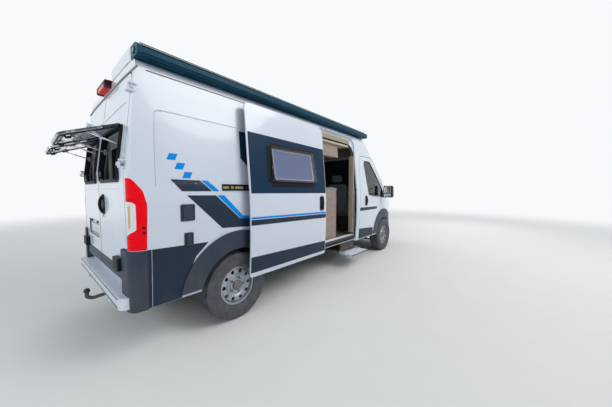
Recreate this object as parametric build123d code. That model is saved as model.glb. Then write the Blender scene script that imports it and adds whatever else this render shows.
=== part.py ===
from build123d import *
import os
from math import cos, radians, sin

os.makedirs("parts", exist_ok=True)

# Camper van on a long high-roof panel van. Millimetres, X forward, Y left, Z up.
# The model is drawn with the rear axle at x = 0 and the ground at z = 0, and each piece is
# moved by origin_shift when it is written, so that the origin is under the middle of the box.

# Driving dimensions of the vehicle
wheelbase = 4035.0
front_overhang = 948.0
rear_overhang = 985.0
roof_height = 2524.0
body_half_width = 1022.0
front_half_track = 905.0
rear_half_track = 895.0
tyre_radius = 366.0
tyre_width = 225.0
rim_radius = 203.0
wall = 45.0
shut_gap = 9.0
seat_gap = 0.3
run_gap = 0.06

# Heights of the main lines of the body
sill_bottom = 440.0
floor_low = sill_bottom + wall
floor_top = floor_low + 75
rail_low_z = sill_bottom - 28
rail_y = (410.0, 490.0)
jack_pad_x = 2050.0
gutter_height = roof_height - 129
above_roof = roof_height + 180
bonnet_base_z = 1375.0
bumper_bottom = 205.0

# Places along the body, forward of the rear axle
nose_x = wheelbase + front_overhang
tail_x = -rear_overhang
screen_base_x = wheelbase + 215
screen_top_x = wheelbase - 615
screen_top_z = roof_height - 364
firewall_x = wheelbase - 475
tail_seam_x = tail_x + 151
corner_seam_x = tail_x + 119
tail_sill_x = tail_x + 60
pillar_seam_x = wheelbase - 1335
cab_door_rear_x = wheelbase - 1280
cab_roof_z = screen_top_z + 10

# Lean of the tail, which stands upright up to lean_start_z
rear_lean = 115.0
lean_start_z = 1600.0

# Rear doors and their flaps
rear_door_half = 918.0
rear_door_bottom = 655.0
rear_door_top = roof_height - 149
rear_door_step_z = 938.0
rear_door_notch_y = 800.0
rear_door_taper = 52.0
centre_gap = 12.0
flap_high_z = roof_height - 584
flap_low_z = flap_high_z - 435
flap_inner_y = 115.0
flap_outer_y = 760.0
flap_frame = 26.0
flap_open_angle = 69.0
flap_length = 385.0
flap_thickness = 22.0
frame_proud = 9.0
flap_hinge_z = flap_high_z + 6
plate_low_z = 905.0
plate_depth = 14.0


def lean_at(z):
    """How far the tail has leaned forward at a height."""
    return rear_lean * max(0.0, z - lean_start_z) / (roof_height - lean_start_z)


flap_hinge_x = tail_x + lean_at(flap_hinge_z) - frame_proud - seat_gap

# Tow ball
ball_x = tail_x - 130
tow_ball_z = 395.0
tow_ball_radius = 25.0

# Step along the tail
rear_step_x = tail_x - 60
rear_step_z = (468.0, 560.0)

# Wheel arches
arch_radius = 425.0
flare_radius = 618.0
wheelhouse_inner_y = 560.0
rear_wheelhouse_inner_y = 735.0

# Sliding door, standing open as in the photograph
slide_front_x = pillar_seam_x - 60
slide_rear_x = slide_front_x - 1405
slide_bottom = sill_bottom + 5
slide_top = roof_height - 149
slide_travel = 1150.0
slide_offset = 90.0
rebate_depth = 24.0
rim_thickness = 16.0
opening_rear_x = slide_rear_x + 95
opening_front_x = slide_front_x - 22
opening_top = slide_top - 120
opening_bottom = slide_bottom + 55
pane_thickness = 20.0
pane_open_angle = 10.0

# Entrance step, shown run out
step_x = (2240.0, 2840.0)
step_thickness = 22.0
arm_width = 20.0
arm_x = (step_x[0] + 22, step_x[1] - 42)
arm_z = (256.0, 280.0)
step_edge_y = 1155.0
step_depth = 265.0

# Steering knuckles and wheels
kingpin_y = front_half_track - 35
arm_low_z = tyre_radius - 158
arm_high_z = tyre_radius + 158
strut_radius = 28.0
strut_y = 700.0
strut_top_z = tyre_radius + (arch_radius**2 - strut_radius**2) ** 0.5 - seat_gap
pin_radius = 12.0
arm_plate = 24.0
stub_radius = 30.0
rim_holes = 10
rim_hole_circle = 154.0
rim_hole_radius = 21.0

# Engine
engine_x = (wheelbase + 235, wheelbase + 605)
engine_bottom = 330.0

# Hinges: places of their axes and sizes of their pins and eyes
cowl_front_x = wheelbase + 240
bulkhead_x = cowl_front_x - 60
toe_board_z = 860.0
bonnet_hinge_x = cowl_front_x + 21
bonnet_hinge_z = bonnet_base_z - 35
bonnet_rear_x = bonnet_hinge_x + 10
bonnet_half_width = 770.0
bonnet_side_gap = 12.0
bonnet_front_z = 1062.0
bumper_top_z = 864.0
grille_half = 521.0
rear_hinge_y = rear_door_half + shut_gap / 2
rear_hinge_out = 18.0
rear_hinge_heights = (roof_height - 904, roof_height - 294)
door_hinge_x = wheelbase + 27
door_hinge_y = 978.0
door_hinge_heights = (1212.0, 1320.0)
door_pin_radius = 3.0
door_eye_radius = 6.0
hinge_pin_radius = 6.0
hinge_eye_radius = 11.0
eye_half = 15.0
eye_gap = 6.0
leaf_depth = 48.0

# Furniture
counter_z = 1455.0
locker_top_z = roof_height - 144
bed_top_z = 1000.0
bench_z = 960.0
table_z = 1268.0

# Door mirrors
mirror_half_width = 1254.0
mirror_low_z = 1255.0
mirror_height = 265.0

# Shallow pressings of the side panels and the ribs of the roof
pressing_depth = 7.0
pressing_low_z = 1480.0
pressing_top_z = roof_height - 434
rib_height = 6.0
rib_width = 46.0


# Limits of the cutting blocks, clear of the whole body
beside = body_half_width + 278
behind_tail = tail_x - 115
before_nose = nose_x + 217


def outline(points, radii=0):
    """Closed face in a plane's own coordinates, with rounded corners."""
    return make_face(FilletPolyline(*points, radius=radii, close=True))


def along_y(face, y_low, y_high):
    """Solid between two Y planes, from a face drawn in X and Z."""
    plane = Plane(origin=(0, y_high, 0), x_dir=(1, 0, 0), z_dir=(0, -1, 0))
    return extrude(plane * face, y_high - y_low)


def along_x(face, x_low, x_high):
    """Solid between two X planes, from a face drawn in Y and Z."""
    plane = Plane(origin=(x_low, 0, 0), x_dir=(0, 1, 0), z_dir=(1, 0, 0))
    return extrude(plane * face, x_high - x_low)


def along_z(face, z_low, z_high):
    """Solid between two Z planes, from a face drawn in X and Y."""
    return extrude(Plane.XY.offset(z_low) * face, z_high - z_low)


def block(x, y, z):
    """Box from three pairs of limits."""
    size = (x[1] - x[0], y[1] - y[0], z[1] - z[0])
    centre = ((x[0] + x[1]) / 2, (y[0] + y[1]) / 2, (z[0] + z[1]) / 2)
    return Pos(*centre) * Box(*size)


def wheel_disc(x, radius, y_low, y_high, z=tyre_radius):
    """Cylinder across the vehicle."""
    return Pos(x, (y_low + y_high) / 2, z) * Rot(90, 0, 0) * Cylinder(radius, y_high - y_low)


def both_sides(shape):
    """The shape and its mirror image in the vehicle's middle plane."""
    return shape, mirror(shape, Plane.XZ)


def side_outline(inset):
    """Side view of the body in X and Z, with the windscreen left to its own curved cut."""
    points = (
        # x, z, corner radius
        (tail_x - 60, sill_bottom, 0),
        (tail_x - 60, roof_height - 324, 0),
        (tail_x + 135, roof_height, 150),
        (wheelbase - 1175, roof_height, 1100),
        (wheelbase - 635, roof_height - 194, 300),
        (wheelbase + 365, roof_height - 924, 0),
        (wheelbase + 365, bonnet_base_z + 15, 0),
        (cowl_front_x + 10, bonnet_base_z - 3, 0),
        (nose_x - 183, bonnet_base_z - 260, 160),
        (nose_x - 18, 800, 150),
        (nose_x, 560, 300),
        (nose_x - 20, bumper_bottom, 60),
        (wheelbase + 525, bumper_bottom, 0),
        (wheelbase + 445, sill_bottom, 0),
    )
    face = outline([p[:2] for p in points], [p[2] for p in points])
    return offset(face, -inset, kind=Kind.INTERSECTION) if inset else face


def plan_outline(inset):
    """Plan of the body in X and Y."""
    half = (
        # x, half width, corner radius
        (tail_x, body_half_width - 422, 3000),
        (tail_x + 13, body_half_width, 95),
        (wheelbase - 935, body_half_width, 3000),
        (wheelbase + 215, body_half_width - 50, 1200),
        (nose_x - 183, body_half_width - 192, 260),
        (nose_x, body_half_width - 602, 500),
    )
    points = list(half) + [(x, -y, r) for x, y, r in reversed(half)]
    face = outline([p[:2] for p in points], [p[2] for p in points])
    return offset(face, -inset, kind=Kind.INTERSECTION) if inset else face


def section_outline(inset):
    """Cross section of the body in Y and Z."""
    half = (
        # half width, z, corner radius
        (body_half_width - 37, 150, 0),
        (body_half_width, 850, 4000),
        (body_half_width + 2, 1290, 2600),
        (body_half_width - 90, roof_height - 214, 900),
        (body_half_width - 122, roof_height - 30, 105),
        (0, roof_height + 4, 0),
    )
    points = list(half) + [(-y, z, r) for y, z, r in reversed(half[:-1])]
    face = outline([p[:2] for p in points], [p[2] for p in points])
    return offset(face, -inset, kind=Kind.INTERSECTION) if inset else face


def screen_prism(inset):
    """Space behind the curved windscreen, whose plan is one arc carried up the slope."""
    bulge = 105.0
    half = body_half_width + 128
    back = inset * 1.36
    edge_x = screen_base_x - bulge - back
    arc = ThreePointArc((edge_x, -half), (screen_base_x + 20 - back, 0), (edge_x, half))
    behind = tail_x - 1500
    rest = Polyline((edge_x, half), (behind, half), (behind, -half), (edge_x, -half))
    face = make_face(Wire([arc.edge(), *rest.edges()]))
    run = Vector(screen_top_x - screen_base_x, 0, screen_top_z - bonnet_base_z)
    height = above_roof - bonnet_base_z
    slope = extrude(Plane.XY.offset(bonnet_base_z) * face, height * run.length / run.Z, dir=run)
    return slope


def envelope(inset=0.0):
    """Solid inside the outer skin, less an even inset."""
    side = along_y(side_outline(inset), -beside, beside)
    section = along_x(section_outline(inset), behind_tail, before_nose)
    plan = plan_outline(inset)
    low = extrude(Plane.XY * plan, lean_start_z)
    lean = Vector(rear_lean, 0, roof_height - lean_start_z)
    high = extrude(Plane.XY.offset(lean_start_z) * plan, lean.length * 1.2, dir=lean)
    body = side & section & (low + high)
    front_space = block((pillar_seam_x - 100, before_nose), (-beside, beside), (bonnet_base_z, above_roof))
    return body - (front_space - screen_prism(inset))


outer = envelope()
inner = envelope(wall)
shell = outer - inner
proud_skin = envelope(-16) - outer
window_skin = envelope(-frame_proud) - envelope(30)
glass_skin = envelope(14) - envelope(20)
grille_skin = envelope(12) - envelope(34)
pressing_skin = outer - envelope(pressing_depth)
cab_space = block((pillar_seam_x, before_nose), (-beside, beside), (150, above_roof))


def skin_at(x, z):
    """Half width of the outer skin at one place."""
    return (outer & block((x - 1, x + 1), (0, beside), (z - 1, z + 1))).bounding_box().max.Y


def side_region(face, side, inner_y=600):
    """Space over one side of the body inside an outline drawn in X and Z."""
    low, high = (inner_y, beside + 100) if side > 0 else (-beside - 100, -inner_y)
    return along_y(face, low, high)


def wheel_cut(x, inner_y, side, radius=arch_radius):
    """Round space of one wheel arch, from the wheelhouse out past the body."""
    low, high = (inner_y, beside + 100) if side > 0 else (-beside - 100, -inner_y)
    return wheel_disc(x, radius, low, high)


def cab_door_outline(grow=0):
    """Front door in side view; its lower front edge follows the wheel arch."""
    points = (
        # x, z, corner radius
        (cab_door_rear_x, sill_bottom - 25, 40),
        (cab_door_rear_x + 75, screen_top_z - 62, 110),
        (wheelbase - 690, screen_top_z - 62, 70),
        (door_hinge_x - 12, bonnet_base_z, 60),
        (door_hinge_x - 12, 1150, 80),
        (wheelbase - 215, 930, 0),
        (wheelbase - 595, sill_bottom - 25, 0),
    )
    face = outline([p[:2] for p in points], [p[2] for p in points])
    hub = Pos(wheelbase, tyre_radius) * Circle(flare_radius + 2 * shut_gap)
    face = face - hub
    return offset(face, grow, kind=Kind.INTERSECTION) if grow else face


def cab_window_outline():
    """Glass of the front door, with the belt line falling forward."""
    points = (
        # x, z, corner radius
        (wheelbase - 880, 1335, 40),
        (wheelbase - 1040, screen_top_z - 145, 70),
        (wheelbase - 745, screen_top_z - 145, 60),
        (wheelbase - 60, 1400, 60),
        (wheelbase - 50, 1300, 20),
        (wheelbase - 590, 1303, 100),
    )
    return outline([p[:2] for p in points], [p[2] for p in points])


def screen_outline():
    """Windscreen seen from in front, in Y and Z."""
    low_half = body_half_width - 117
    top_half = low_half - 105
    low_z = bonnet_base_z + 17
    top_z = screen_top_z - 32
    points = ((-low_half, low_z), (low_half, low_z), (top_half, top_z), (-top_half, top_z))
    return outline(points, (70, 70, 90, 90))


def slide_outline(grow=0):
    """Sliding door in side view, as it stands closed."""
    points = (
        (slide_rear_x, slide_bottom),
        (slide_front_x, slide_bottom),
        (slide_front_x, slide_top),
        (slide_rear_x, slide_top),
    )
    face = outline(points, (30, 30, 120, 60))
    return offset(face, grow, kind=Kind.INTERSECTION) if grow else face


def slide_window_outline(grow=0):
    """Window of the sliding door, with the door closed."""
    low_x, high_x = slide_rear_x + 280, slide_front_x - 235
    low_z, high_z = roof_height - 1054, roof_height - 559
    face = outline(((low_x, low_z), (high_x, low_z), (high_x, high_z), (low_x, high_z)), 60)
    return offset(face, grow) if grow else face


def opening_outline(grow=0):
    """Door opening in the right wall."""
    points = (
        (opening_rear_x, opening_bottom),
        (opening_front_x, opening_bottom),
        (opening_front_x, opening_top),
        (opening_rear_x, opening_top),
    )
    face = outline(points, (40, 40, 190, 90))
    return offset(face, grow) if grow else face


def rear_door_outline(side, grow=0):
    """Rear door in Y and Z, notched for the bumper corner."""
    near = centre_gap / 2 - grow
    notch = rear_door_notch_y + grow
    points = (
        (near, rear_door_bottom - grow),
        (notch, rear_door_bottom - grow),
        (notch, rear_door_step_z - grow),
        (rear_door_half + grow, rear_door_step_z - grow),
        (rear_door_half - rear_door_taper + grow, rear_door_top + grow),
        (near, rear_door_top + grow),
    )
    face = outline([(side * y, z) for y, z in points], (0, 20, 20, 20, 70, 0))
    return face


def flap_outline(side, grow=0):
    """Window opening of one rear door, in Y and Z."""
    points = (
        (flap_inner_y - grow, flap_low_z - grow),
        (flap_outer_y + grow, flap_low_z - grow),
        (flap_outer_y + grow, flap_high_z + grow),
        (flap_inner_y - grow, flap_high_z + grow),
    )
    return outline([(side * y, z) for y, z in points], 50)


left_windows = (
    # rear x, front x, low z, high z
    (pillar_seam_x - 1000, pillar_seam_x - 220, roof_height - 1034, roof_height - 584),
    (tail_x + 385, tail_x + 925, roof_height - 1014, roof_height - 664),
)


def left_window_outline(row, grow=0):
    """Pane of the left wall in side view."""
    x_low, x_high, z_low, z_high = row
    points = (
        (x_low - grow, z_low - grow),
        (x_high + grow, z_low - grow),
        (x_high + grow, z_high + grow),
        (x_low - grow, z_high + grow),
    )
    return outline(points, 60)


rear_zone = block((behind_tail, tail_seam_x), (-beside, beside), (150, above_roof))
corner_top_z = rear_door_step_z - 8
lamp_low_z = rear_door_step_z - 4
corner_inner_y = rear_door_notch_y + 5
bumper_corner_zone = sum(
    both_sides(block((behind_tail, corner_seam_x), (corner_inner_y, beside), (150, corner_top_z))), Part()
)


def pressing_zone(side, x_low, x_high):
    """Shallow pressing of one side panel, between the rail and the gutter."""
    points = (
        (x_low, pressing_low_z), (x_high, pressing_low_z), (x_high, pressing_top_z), (x_low, pressing_top_z),
    )
    return pressing_skin & side_region(outline(points, 50), side)


def make_side_wall(side):
    """Body side from the rear corner to the front door pillar."""
    zone = block((tail_seam_x, pillar_seam_x), (600, beside), (sill_bottom, gutter_height))
    if side < 0:
        zone = mirror(zone, Plane.XZ)
    panel = shell & zone
    panel -= wheel_cut(0, rear_wheelhouse_inner_y, side)
    panel -= pressing_zone(side, tail_x + 215, slide_rear_x - 60)
    if side < 0:
        panel -= (outer - envelope(rebate_depth)) & side_region(slide_outline(shut_gap), side)
        panel -= side_region(opening_outline(), side)
    else:
        panel -= pressing_zone(side, slide_rear_x, slide_front_x)
    for row in left_windows if side > 0 else ():
        panel -= side_region(left_window_outline(row, seat_gap), side)
    return panel


def make_roof():
    """Roof above the gutters, back to the rear header, with its long ribs."""
    roof = shell & block((tail_seam_x, pillar_seam_x), (-beside, beside), (gutter_height, above_roof))
    rib_skin = envelope(-rib_height) - outer
    for y, x_low in ((-580, -380), (-330, -380), (330, -700), (580, -700)):
        plan = outline(
            (
                (x_low, y - rib_width / 2), (2450, y - rib_width / 2),
                (2450, y + rib_width / 2), (x_low, y + rib_width / 2),
            ),
            rib_width / 2 - 1,
        )
        roof += rib_skin & along_z(plan, gutter_height, above_roof)
    return roof


def through_tail(face):
    """Space through the tail inside an outline drawn in Y and Z."""
    return along_x(face, tail_x - 315, tail_x + 185)


def make_rear_frame():
    """Rear corner posts, header and sill round the two rear doors."""
    frame = shell & rear_zone
    for side in (1, -1):
        frame -= through_tail(rear_door_outline(side, shut_gap))
        frame -= lamp_zone(side)
    frame -= bumper_corner_zone
    recess_top = rear_door_bottom - shut_gap
    half = corner_inner_y
    frame -= block((behind_tail, tail_sill_x), (-half, half), (400, rear_door_bottom + 5))
    frame += block((tail_sill_x, tail_sill_x + 40), (1 - half, half - 1), (sill_bottom, recess_top))
    frame -= block((behind_tail, tail_x + 85), (-20, 20), (recess_top, rear_door_top + shut_gap))
    for side in (1, -1):
        frame += rear_hinges(side)[1]
    return frame


def lamp_zone(side):
    """Space of one upright tail lamp on the rear corner."""
    points = (
        # x, z, corner radius
        (behind_tail, lamp_low_z, 0),
        (tail_x + 120, lamp_low_z, 12),
        (tail_x + 131, lamp_low_z + 366, 90),
        (tail_x + 106, lamp_low_z + 474, 60),
        (tail_x + 31, lamp_low_z + 572, 30),
        (behind_tail, lamp_low_z + 594, 0),
    )
    face = outline([p[:2] for p in points], [p[2] for p in points])
    return side_region(face, side, rear_door_half + shut_gap + 2)


def rail_sides(side):
    """The two faces of one long rail under the floor, across the vehicle."""
    return sorted((side * rail_y[0], side * rail_y[1]))


def make_floor():
    """Floor, two rails under it and the rear wheelhouses."""
    floor = inner & block((tail_sill_x + 40, firewall_x), (-beside, beside), (floor_low, floor_top))
    floor += shell & block((tail_seam_x, firewall_x), (-600, 600), (400, floor_low))
    for side in (1, -1):
        floor -= wheel_cut(0, rear_wheelhouse_inner_y, side, arch_radius + 12)
        house = wheel_cut(0, rear_wheelhouse_inner_y, side, arch_radius + 12)
        house -= wheel_cut(0, rear_wheelhouse_inner_y + 12, side)
        floor += house & inner & block((-600, 600), (-beside, beside), (floor_low, 900))
        floor += block((tail_seam_x, firewall_x - 60), rail_sides(side), (rail_low_z, sill_bottom))
        pad_y = sorted((side * (rail_y[0] + 12), side * (rail_y[1] - 12)))
        floor += block((jack_pad_x - 40, jack_pad_x + 40), pad_y, (rail_low_z - 12, rail_low_z))
        floor -= side_region(cab_door_outline(shut_gap), side, 930)
    return floor


def make_cab_frame():
    """Front pillars, roof front, sills, bulkhead and cowl."""
    frame = (shell & cab_space) - block((pillar_seam_x, before_nose), (-beside, beside), (cab_roof_z, above_roof))
    for side in (1, -1):
        frame -= side_region(cab_door_outline(shut_gap), side, 860)
        frame -= wheel_cut(wheelbase, wheelhouse_inner_y - 30, side)
    frame -= through_screen()
    frame -= front_end_zone()
    frame -= block((pillar_seam_x, firewall_x), (-600, 600), (400, floor_low))
    frame -= block((firewall_x + 45, wheelbase + 445), (-beside, beside), (150, floor_low + 30))
    points = (
        (firewall_x, floor_low),
        (firewall_x + 25, floor_low),
        (firewall_x + 25, toe_board_z),
        (bulkhead_x + 25, toe_board_z),
        (bulkhead_x + 25, bonnet_base_z - 30),
        (bulkhead_x, bonnet_base_z - 30),
        (bulkhead_x, toe_board_z + 25),
        (firewall_x, toe_board_z + 25),
    )
    bulkhead = along_y(outline(points), -beside, beside) & inner
    for side in (1, -1):
        bulkhead -= side_region(cab_door_outline(shut_gap), side, 860)
    frame += bulkhead + bonnet_hinges()[1]
    for side in (1, -1):
        pockets, pins = door_hinges(side)[1:]
        frame = frame - pockets + pins
    return frame


def make_cab_roof():
    """Front of the high roof, above the windscreen and the front doors."""
    return shell & block((pillar_seam_x, before_nose), (-beside, beside), (cab_roof_z, above_roof))


def through_screen():
    """Space through the windscreen's opening."""
    return along_x(screen_outline(), screen_top_x - 120, wheelbase + 565)


def front_end_zone():
    """Space of the wings, bumper, grille, bonnet and lamps."""
    post_x = door_hinge_x + 48
    points = (
        (firewall_x, 400), (wheelbase - 215, 930), (wheelbase + 25, 1145), (post_x, 1145), (post_x, 1262),
        (cowl_front_x, bonnet_base_z - 40), (cowl_front_x, 1600), (before_nose, 1600), (before_nose, 100),
        (firewall_x, 100),
    )
    return along_y(outline(points), -beside, beside)


def bonnet_outline(grow=0):
    """Bonnet in plan."""
    half = bonnet_half_width
    points = (
        (bonnet_rear_x, -half), (bonnet_rear_x, half), (nose_x - 83, half - 130), (nose_x - 83, 130 - half),
    )
    face = outline(points, (60, 60, 0, 0))
    return offset(face, grow, kind=Kind.INTERSECTION) if grow else face


def bonnet_zone(grow=0):
    """Space of the bonnet from its front edge up."""
    return along_z(bonnet_outline(grow), bonnet_front_z - grow, bonnet_base_z + 125)


def headlamp_zone(side):
    """Space of one headlamp between bumper and bonnet."""
    top = bonnet_front_z - shut_gap
    low = bumper_top_z + 8
    points = (
        (wheelbase + 485, 1150), (wheelbase + 605, low), (before_nose, low), (before_nose, top),
        (wheelbase + 725, top),
    )
    return side_region(outline(points), side, grille_half + 1) - bonnet_zone(shut_gap)


bumper_zone = block((wheelbase + 435, before_nose), (-beside, beside), (150, bumper_top_z))


def make_wing(side):
    """One front wing with its inner wheelhouse."""
    y = sorted((side * 500, side * beside))
    wing = shell & front_end_zone() & block((firewall_x, before_nose), y, (sill_bottom, 1600))
    wing -= bumper_zone
    wing -= bonnet_zone(bonnet_side_gap)
    scuttle = bonnet_half_width + bonnet_side_gap
    wing -= block((cowl_front_x - 5, bonnet_rear_x + 60), (-scuttle, scuttle), (bonnet_front_z, 1600))
    wing -= block((wheelbase + 435, before_nose), (-grille_half, grille_half), (100, bonnet_front_z))
    wing -= side_region(cab_door_outline(shut_gap), side, 500)
    wing -= wheel_cut(wheelbase, wheelhouse_inner_y, side)
    wing -= headlamp_zone(side)
    house = wheel_cut(wheelbase, wheelhouse_inner_y - 12, side, arch_radius + 12)
    house -= wheel_cut(wheelbase, wheelhouse_inner_y, side)
    house &= inner & block(
        (firewall_x + 25, wheelbase + 425), (-beside, beside), (floor_low + 31, toe_board_z)
    )
    return wing + house


def make_bumper():
    """Front bumper with its lower intake, and the barred grille above."""
    bumper = shell & bumper_zone
    for side in (1, -1):
        bumper -= wheel_cut(wheelbase, wheelhouse_inner_y - 30, side)
    face_x = (nose_x - 283, before_nose)
    bumper -= block(face_x, (-470, 470), (330, 520))
    bumper -= block((wheelbase + 365, nose_x - 263), (-500, 500), (150, 800))
    for z in (375, 425, 475):
        bumper += grille_skin & block(face_x, (-470, 470), (z - 7, z + 7))
    grille = shell & block(face_x, (-grille_half, grille_half), (bumper_top_z, bonnet_front_z - shut_gap))
    for row in range(4):
        z = bumper_top_z + 26 + 40 * row
        grille -= block(face_x, (41 - grille_half, grille_half - 41), (z, z + 24))
    return bumper + grille


def make_headlamps():
    """Clear covers of the two headlamps, on the curve of the nose."""
    return sum((shell & headlamp_zone(side) for side in (1, -1)), Part())


def make_bonnet():
    """Bonnet lid cut from the body's own curve."""
    return (shell & bonnet_zone()) + bonnet_hinges()[0]


def make_cab_door(side):
    """Front door, a whole door thick, with its window cut through."""
    door = shell & side_region(cab_door_outline(), side, 860)
    half = body_half_width - 57
    door -= block((pillar_seam_x, firewall_x + 40), (-half, half), (400, floor_low + 2))
    return door - side_region(cab_window_outline(), side, 500) + door_hinges(side)[0]


def make_cab_glass(side):
    """Front door glass, set in from the skin."""
    return glass_skin & side_region(cab_window_outline(), side, 500)


def make_mirror(side):
    """Tall door mirror on its arm, outside the front of the door glass."""
    x = wheelbase - 235
    top_z = mirror_low_z + mirror_height
    face = outline(((x, mirror_low_z), (x + 160, mirror_low_z), (x + 135, top_z), (x + 15, top_z)), 40)
    head = along_y(face, body_half_width + 42, mirror_half_width)
    head = fillet(head.faces().sort_by(Axis.Y)[-1].edges(), 24)
    arm = block((x + 55, x + 145), (body_half_width - 122, body_half_width + 48), (mirror_low_z + 2, mirror_low_z + 40))
    shape = (head + arm) - outer
    return shape if side > 0 else mirror(shape, Plane.XZ)


def make_rear_door(side):
    """Rear door with the opening for its hinged window."""
    door = shell & through_tail(rear_door_outline(side))
    door += rear_hinges(side)[0]
    door -= through_tail(flap_outline(side, flap_frame))
    if side > 0:
        points = ((70, plate_low_z), (600, plate_low_z), (600, plate_low_z + 180), (70, plate_low_z + 180))
        door -= (outer - envelope(plate_depth)) & through_tail(outline(points, 25))
    return door


def make_rear_window(side):
    """Window frame in the rear door and its pane, swung up on the top edge."""
    frame = window_skin & through_tail(flap_outline(side, flap_frame) - flap_outline(side))
    y_low, y_high = sorted((side * (flap_inner_y + 8), side * (flap_outer_y - 8)))
    corners = (
        (y_low, flap_hinge_z - flap_length),
        (y_high, flap_hinge_z - flap_length),
        (y_high, flap_hinge_z),
        (y_low, flap_hinge_z),
    )
    pane = along_x(outline(corners, (55, 55, 8, 8)), flap_hinge_x - flap_thickness, flap_hinge_x)
    hinge = Axis((flap_hinge_x, 0, flap_hinge_z), (0, 1, 0))
    return frame + pane.rotate(hinge, flap_open_angle)


def make_rear_lamps():
    """Tall tail lamps that wrap round the rear corners."""
    return sum((shell & lamp_zone(side) for side in (1, -1)), Part())


def make_lower_trim():
    """Dark bumper corners and wheel arch flares, standing proud of the body."""
    trim = (shell + proud_skin) & bumper_corner_zone
    trim &= block((behind_tail, corner_seam_x), (-beside, 0), (sill_bottom, corner_top_z))
    for x in (0, wheelbase):
        ring = wheel_cut(x, 600, -1, flare_radius) - wheel_cut(x, 600, -1)
        near = block((tail_seam_x, wheelbase + 665), (-beside, 0), (sill_bottom + 25, 1100))
        trim += proud_skin & ring & near
    trim -= side_region(cab_door_outline(shut_gap), -1, 500)
    return trim + mirror(trim, Plane.XZ)


def make_rear_step():
    """Tread bar along the rear bumper, with rounded ends, on two brackets."""
    half = body_half_width - 57
    plan = outline(
        ((tail_sill_x, -half), (tail_sill_x, half), (rear_step_x, half), (rear_step_x, -half)), (0, 0, 60, 60)
    )
    tread = along_z(plan, rear_step_z[0], rear_step_z[1])
    tread -= bumper_corner_zone & (outer + proud_skin)
    for y in (-520, 520):
        bracket = (y - 25, y + 25)
        tread += block((rear_step_x + 15, tail_sill_x), bracket, (sill_bottom - 40, rear_step_z[0]))
        tread += block((tail_sill_x, tail_sill_x + 75), bracket, (sill_bottom - 40, sill_bottom))
    return tread


def make_tow_bar():
    """Cross bar under the tail with a swan neck and ball."""
    bar_x = tail_x + 85
    bar = block((bar_x, bar_x + 60), (-485, 485), (345, 380))
    for side in (1, -1):
        y = sorted((side * (rail_y[0] + 5), side * (rail_y[1] - 5)))
        bar += block((bar_x + 40, bar_x + 200), y, (345, rail_low_z - seat_gap))
    points = (
        (bar_x + 50, 330), (ball_x + 45, 308), (ball_x, 330), (ball_x, tow_ball_z - 20),
    )
    path = FilletPolyline(*[(x, 0, z) for x, z in points], radius=20)
    neck = sweep(Plane(path @ 0, z_dir=path % 0) * Circle(17), path)
    bar += neck + block((bar_x + 20, bar_x + 50), (-30, 30), (305, 350))
    return bar + Pos(ball_x, 0, tow_ball_z) * Sphere(tow_ball_radius)


def make_brake_light():
    """High brake lamp on the roof edge above the gutter."""
    low_z, high_z = gutter_height + 35, roof_height - 32
    points = ((tail_x + 50, low_z), (tail_x + 116, low_z), (tail_x + 116, high_z), (tail_x + 60, high_z))
    return along_y(outline(points, (8, 0, 0, 16)), -190, 190) - outer


def make_windows():
    """Windscreen and the hinged panes of the left wall."""
    panes = glass_skin & through_screen()
    for row in left_windows:
        panes += window_skin & side_region(left_window_outline(row), 1)
    return panes


slide_move = Pos(-slide_travel, -slide_offset, 0)


def make_sliding_door():
    """Sliding door with its thin rim, set back to where it stands open."""
    door = shell & side_region(slide_outline(), -1)
    lining = (50 - body_half_width, 0)
    door -= block((slide_rear_x - 50, slide_front_x + 50), lining, (400, floor_low + 2))
    rim = side_region(slide_outline(), -1) - side_region(opening_outline(-shut_gap), -1)
    door -= rim & envelope(rim_thickness)
    return slide_move * (door - side_region(slide_window_outline(), -1))


def make_sliding_window():
    """Frame of the sliding door's window and its pane, ajar on the top edge."""
    frame = side_region(slide_window_outline(-seat_gap), -1) - side_region(slide_window_outline(-62), -1)
    box = (window_skin & frame).bounding_box()
    hinge_z = box.max.Z - 40
    hinge_y = -skin_at((box.min.X + box.max.X) / 2, hinge_z) - frame_proud - seat_gap
    corners = (
        (box.min.X + 42, box.min.Z + 40),
        (box.max.X - 42, box.min.Z + 40),
        (box.max.X - 42, hinge_z),
        (box.min.X + 42, hinge_z),
    )
    pane = along_y(outline(corners, (50, 50, 8, 8)), hinge_y - pane_thickness, hinge_y)
    hinge = Axis((0, hinge_y, hinge_z), (1, 0, 0))
    return slide_move * ((window_skin & frame) + pane.rotate(hinge, -pane_open_angle))


def make_door_rails():
    """Middle rail on the wall, and the arms that carry the open door."""
    rail_skin = envelope(-8)
    rebate = envelope(rebate_depth)
    rail_x = (slide_rear_x - slide_travel - 275, opening_rear_x - 30)
    rail = (rail_skin - outer) & block(rail_x, (-beside, -600), (pressing_low_z - 70, pressing_low_z - 5))
    rows = (
        # rear x, low z, what the arm stands on
        (slide_rear_x - slide_travel + 20, pressing_low_z - 56, rail_skin),
        (slide_front_x - slide_travel - 60, slide_bottom + 10, rebate),
        (slide_front_x - slide_travel - 60, opening_top + 35, rebate),
    )
    arms = Part()
    for x, z, body in rows:
        arms += block((x, x + 50), (-1200, -900), (z, z + 36)) - body
    arms &= slide_move * envelope(rim_thickness)
    return rail + (arms - make_sliding_door())


def make_awning():
    """Awning cassette on the right shoulder of the roof."""
    top_z = roof_height + 64
    outer_y, inner_y = 37 - body_half_width, 210 - body_half_width
    profile = (
        (outer_y, top_z - 110), (inner_y, top_z - 110), (inner_y, top_z), (outer_y + 55, top_z),
        (outer_y, top_z - 38),
    )
    face = outline(profile, (18, 0, 20, 40, 20))
    return along_x(face, tail_x + 122, wheelbase - 935) - outer


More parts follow.
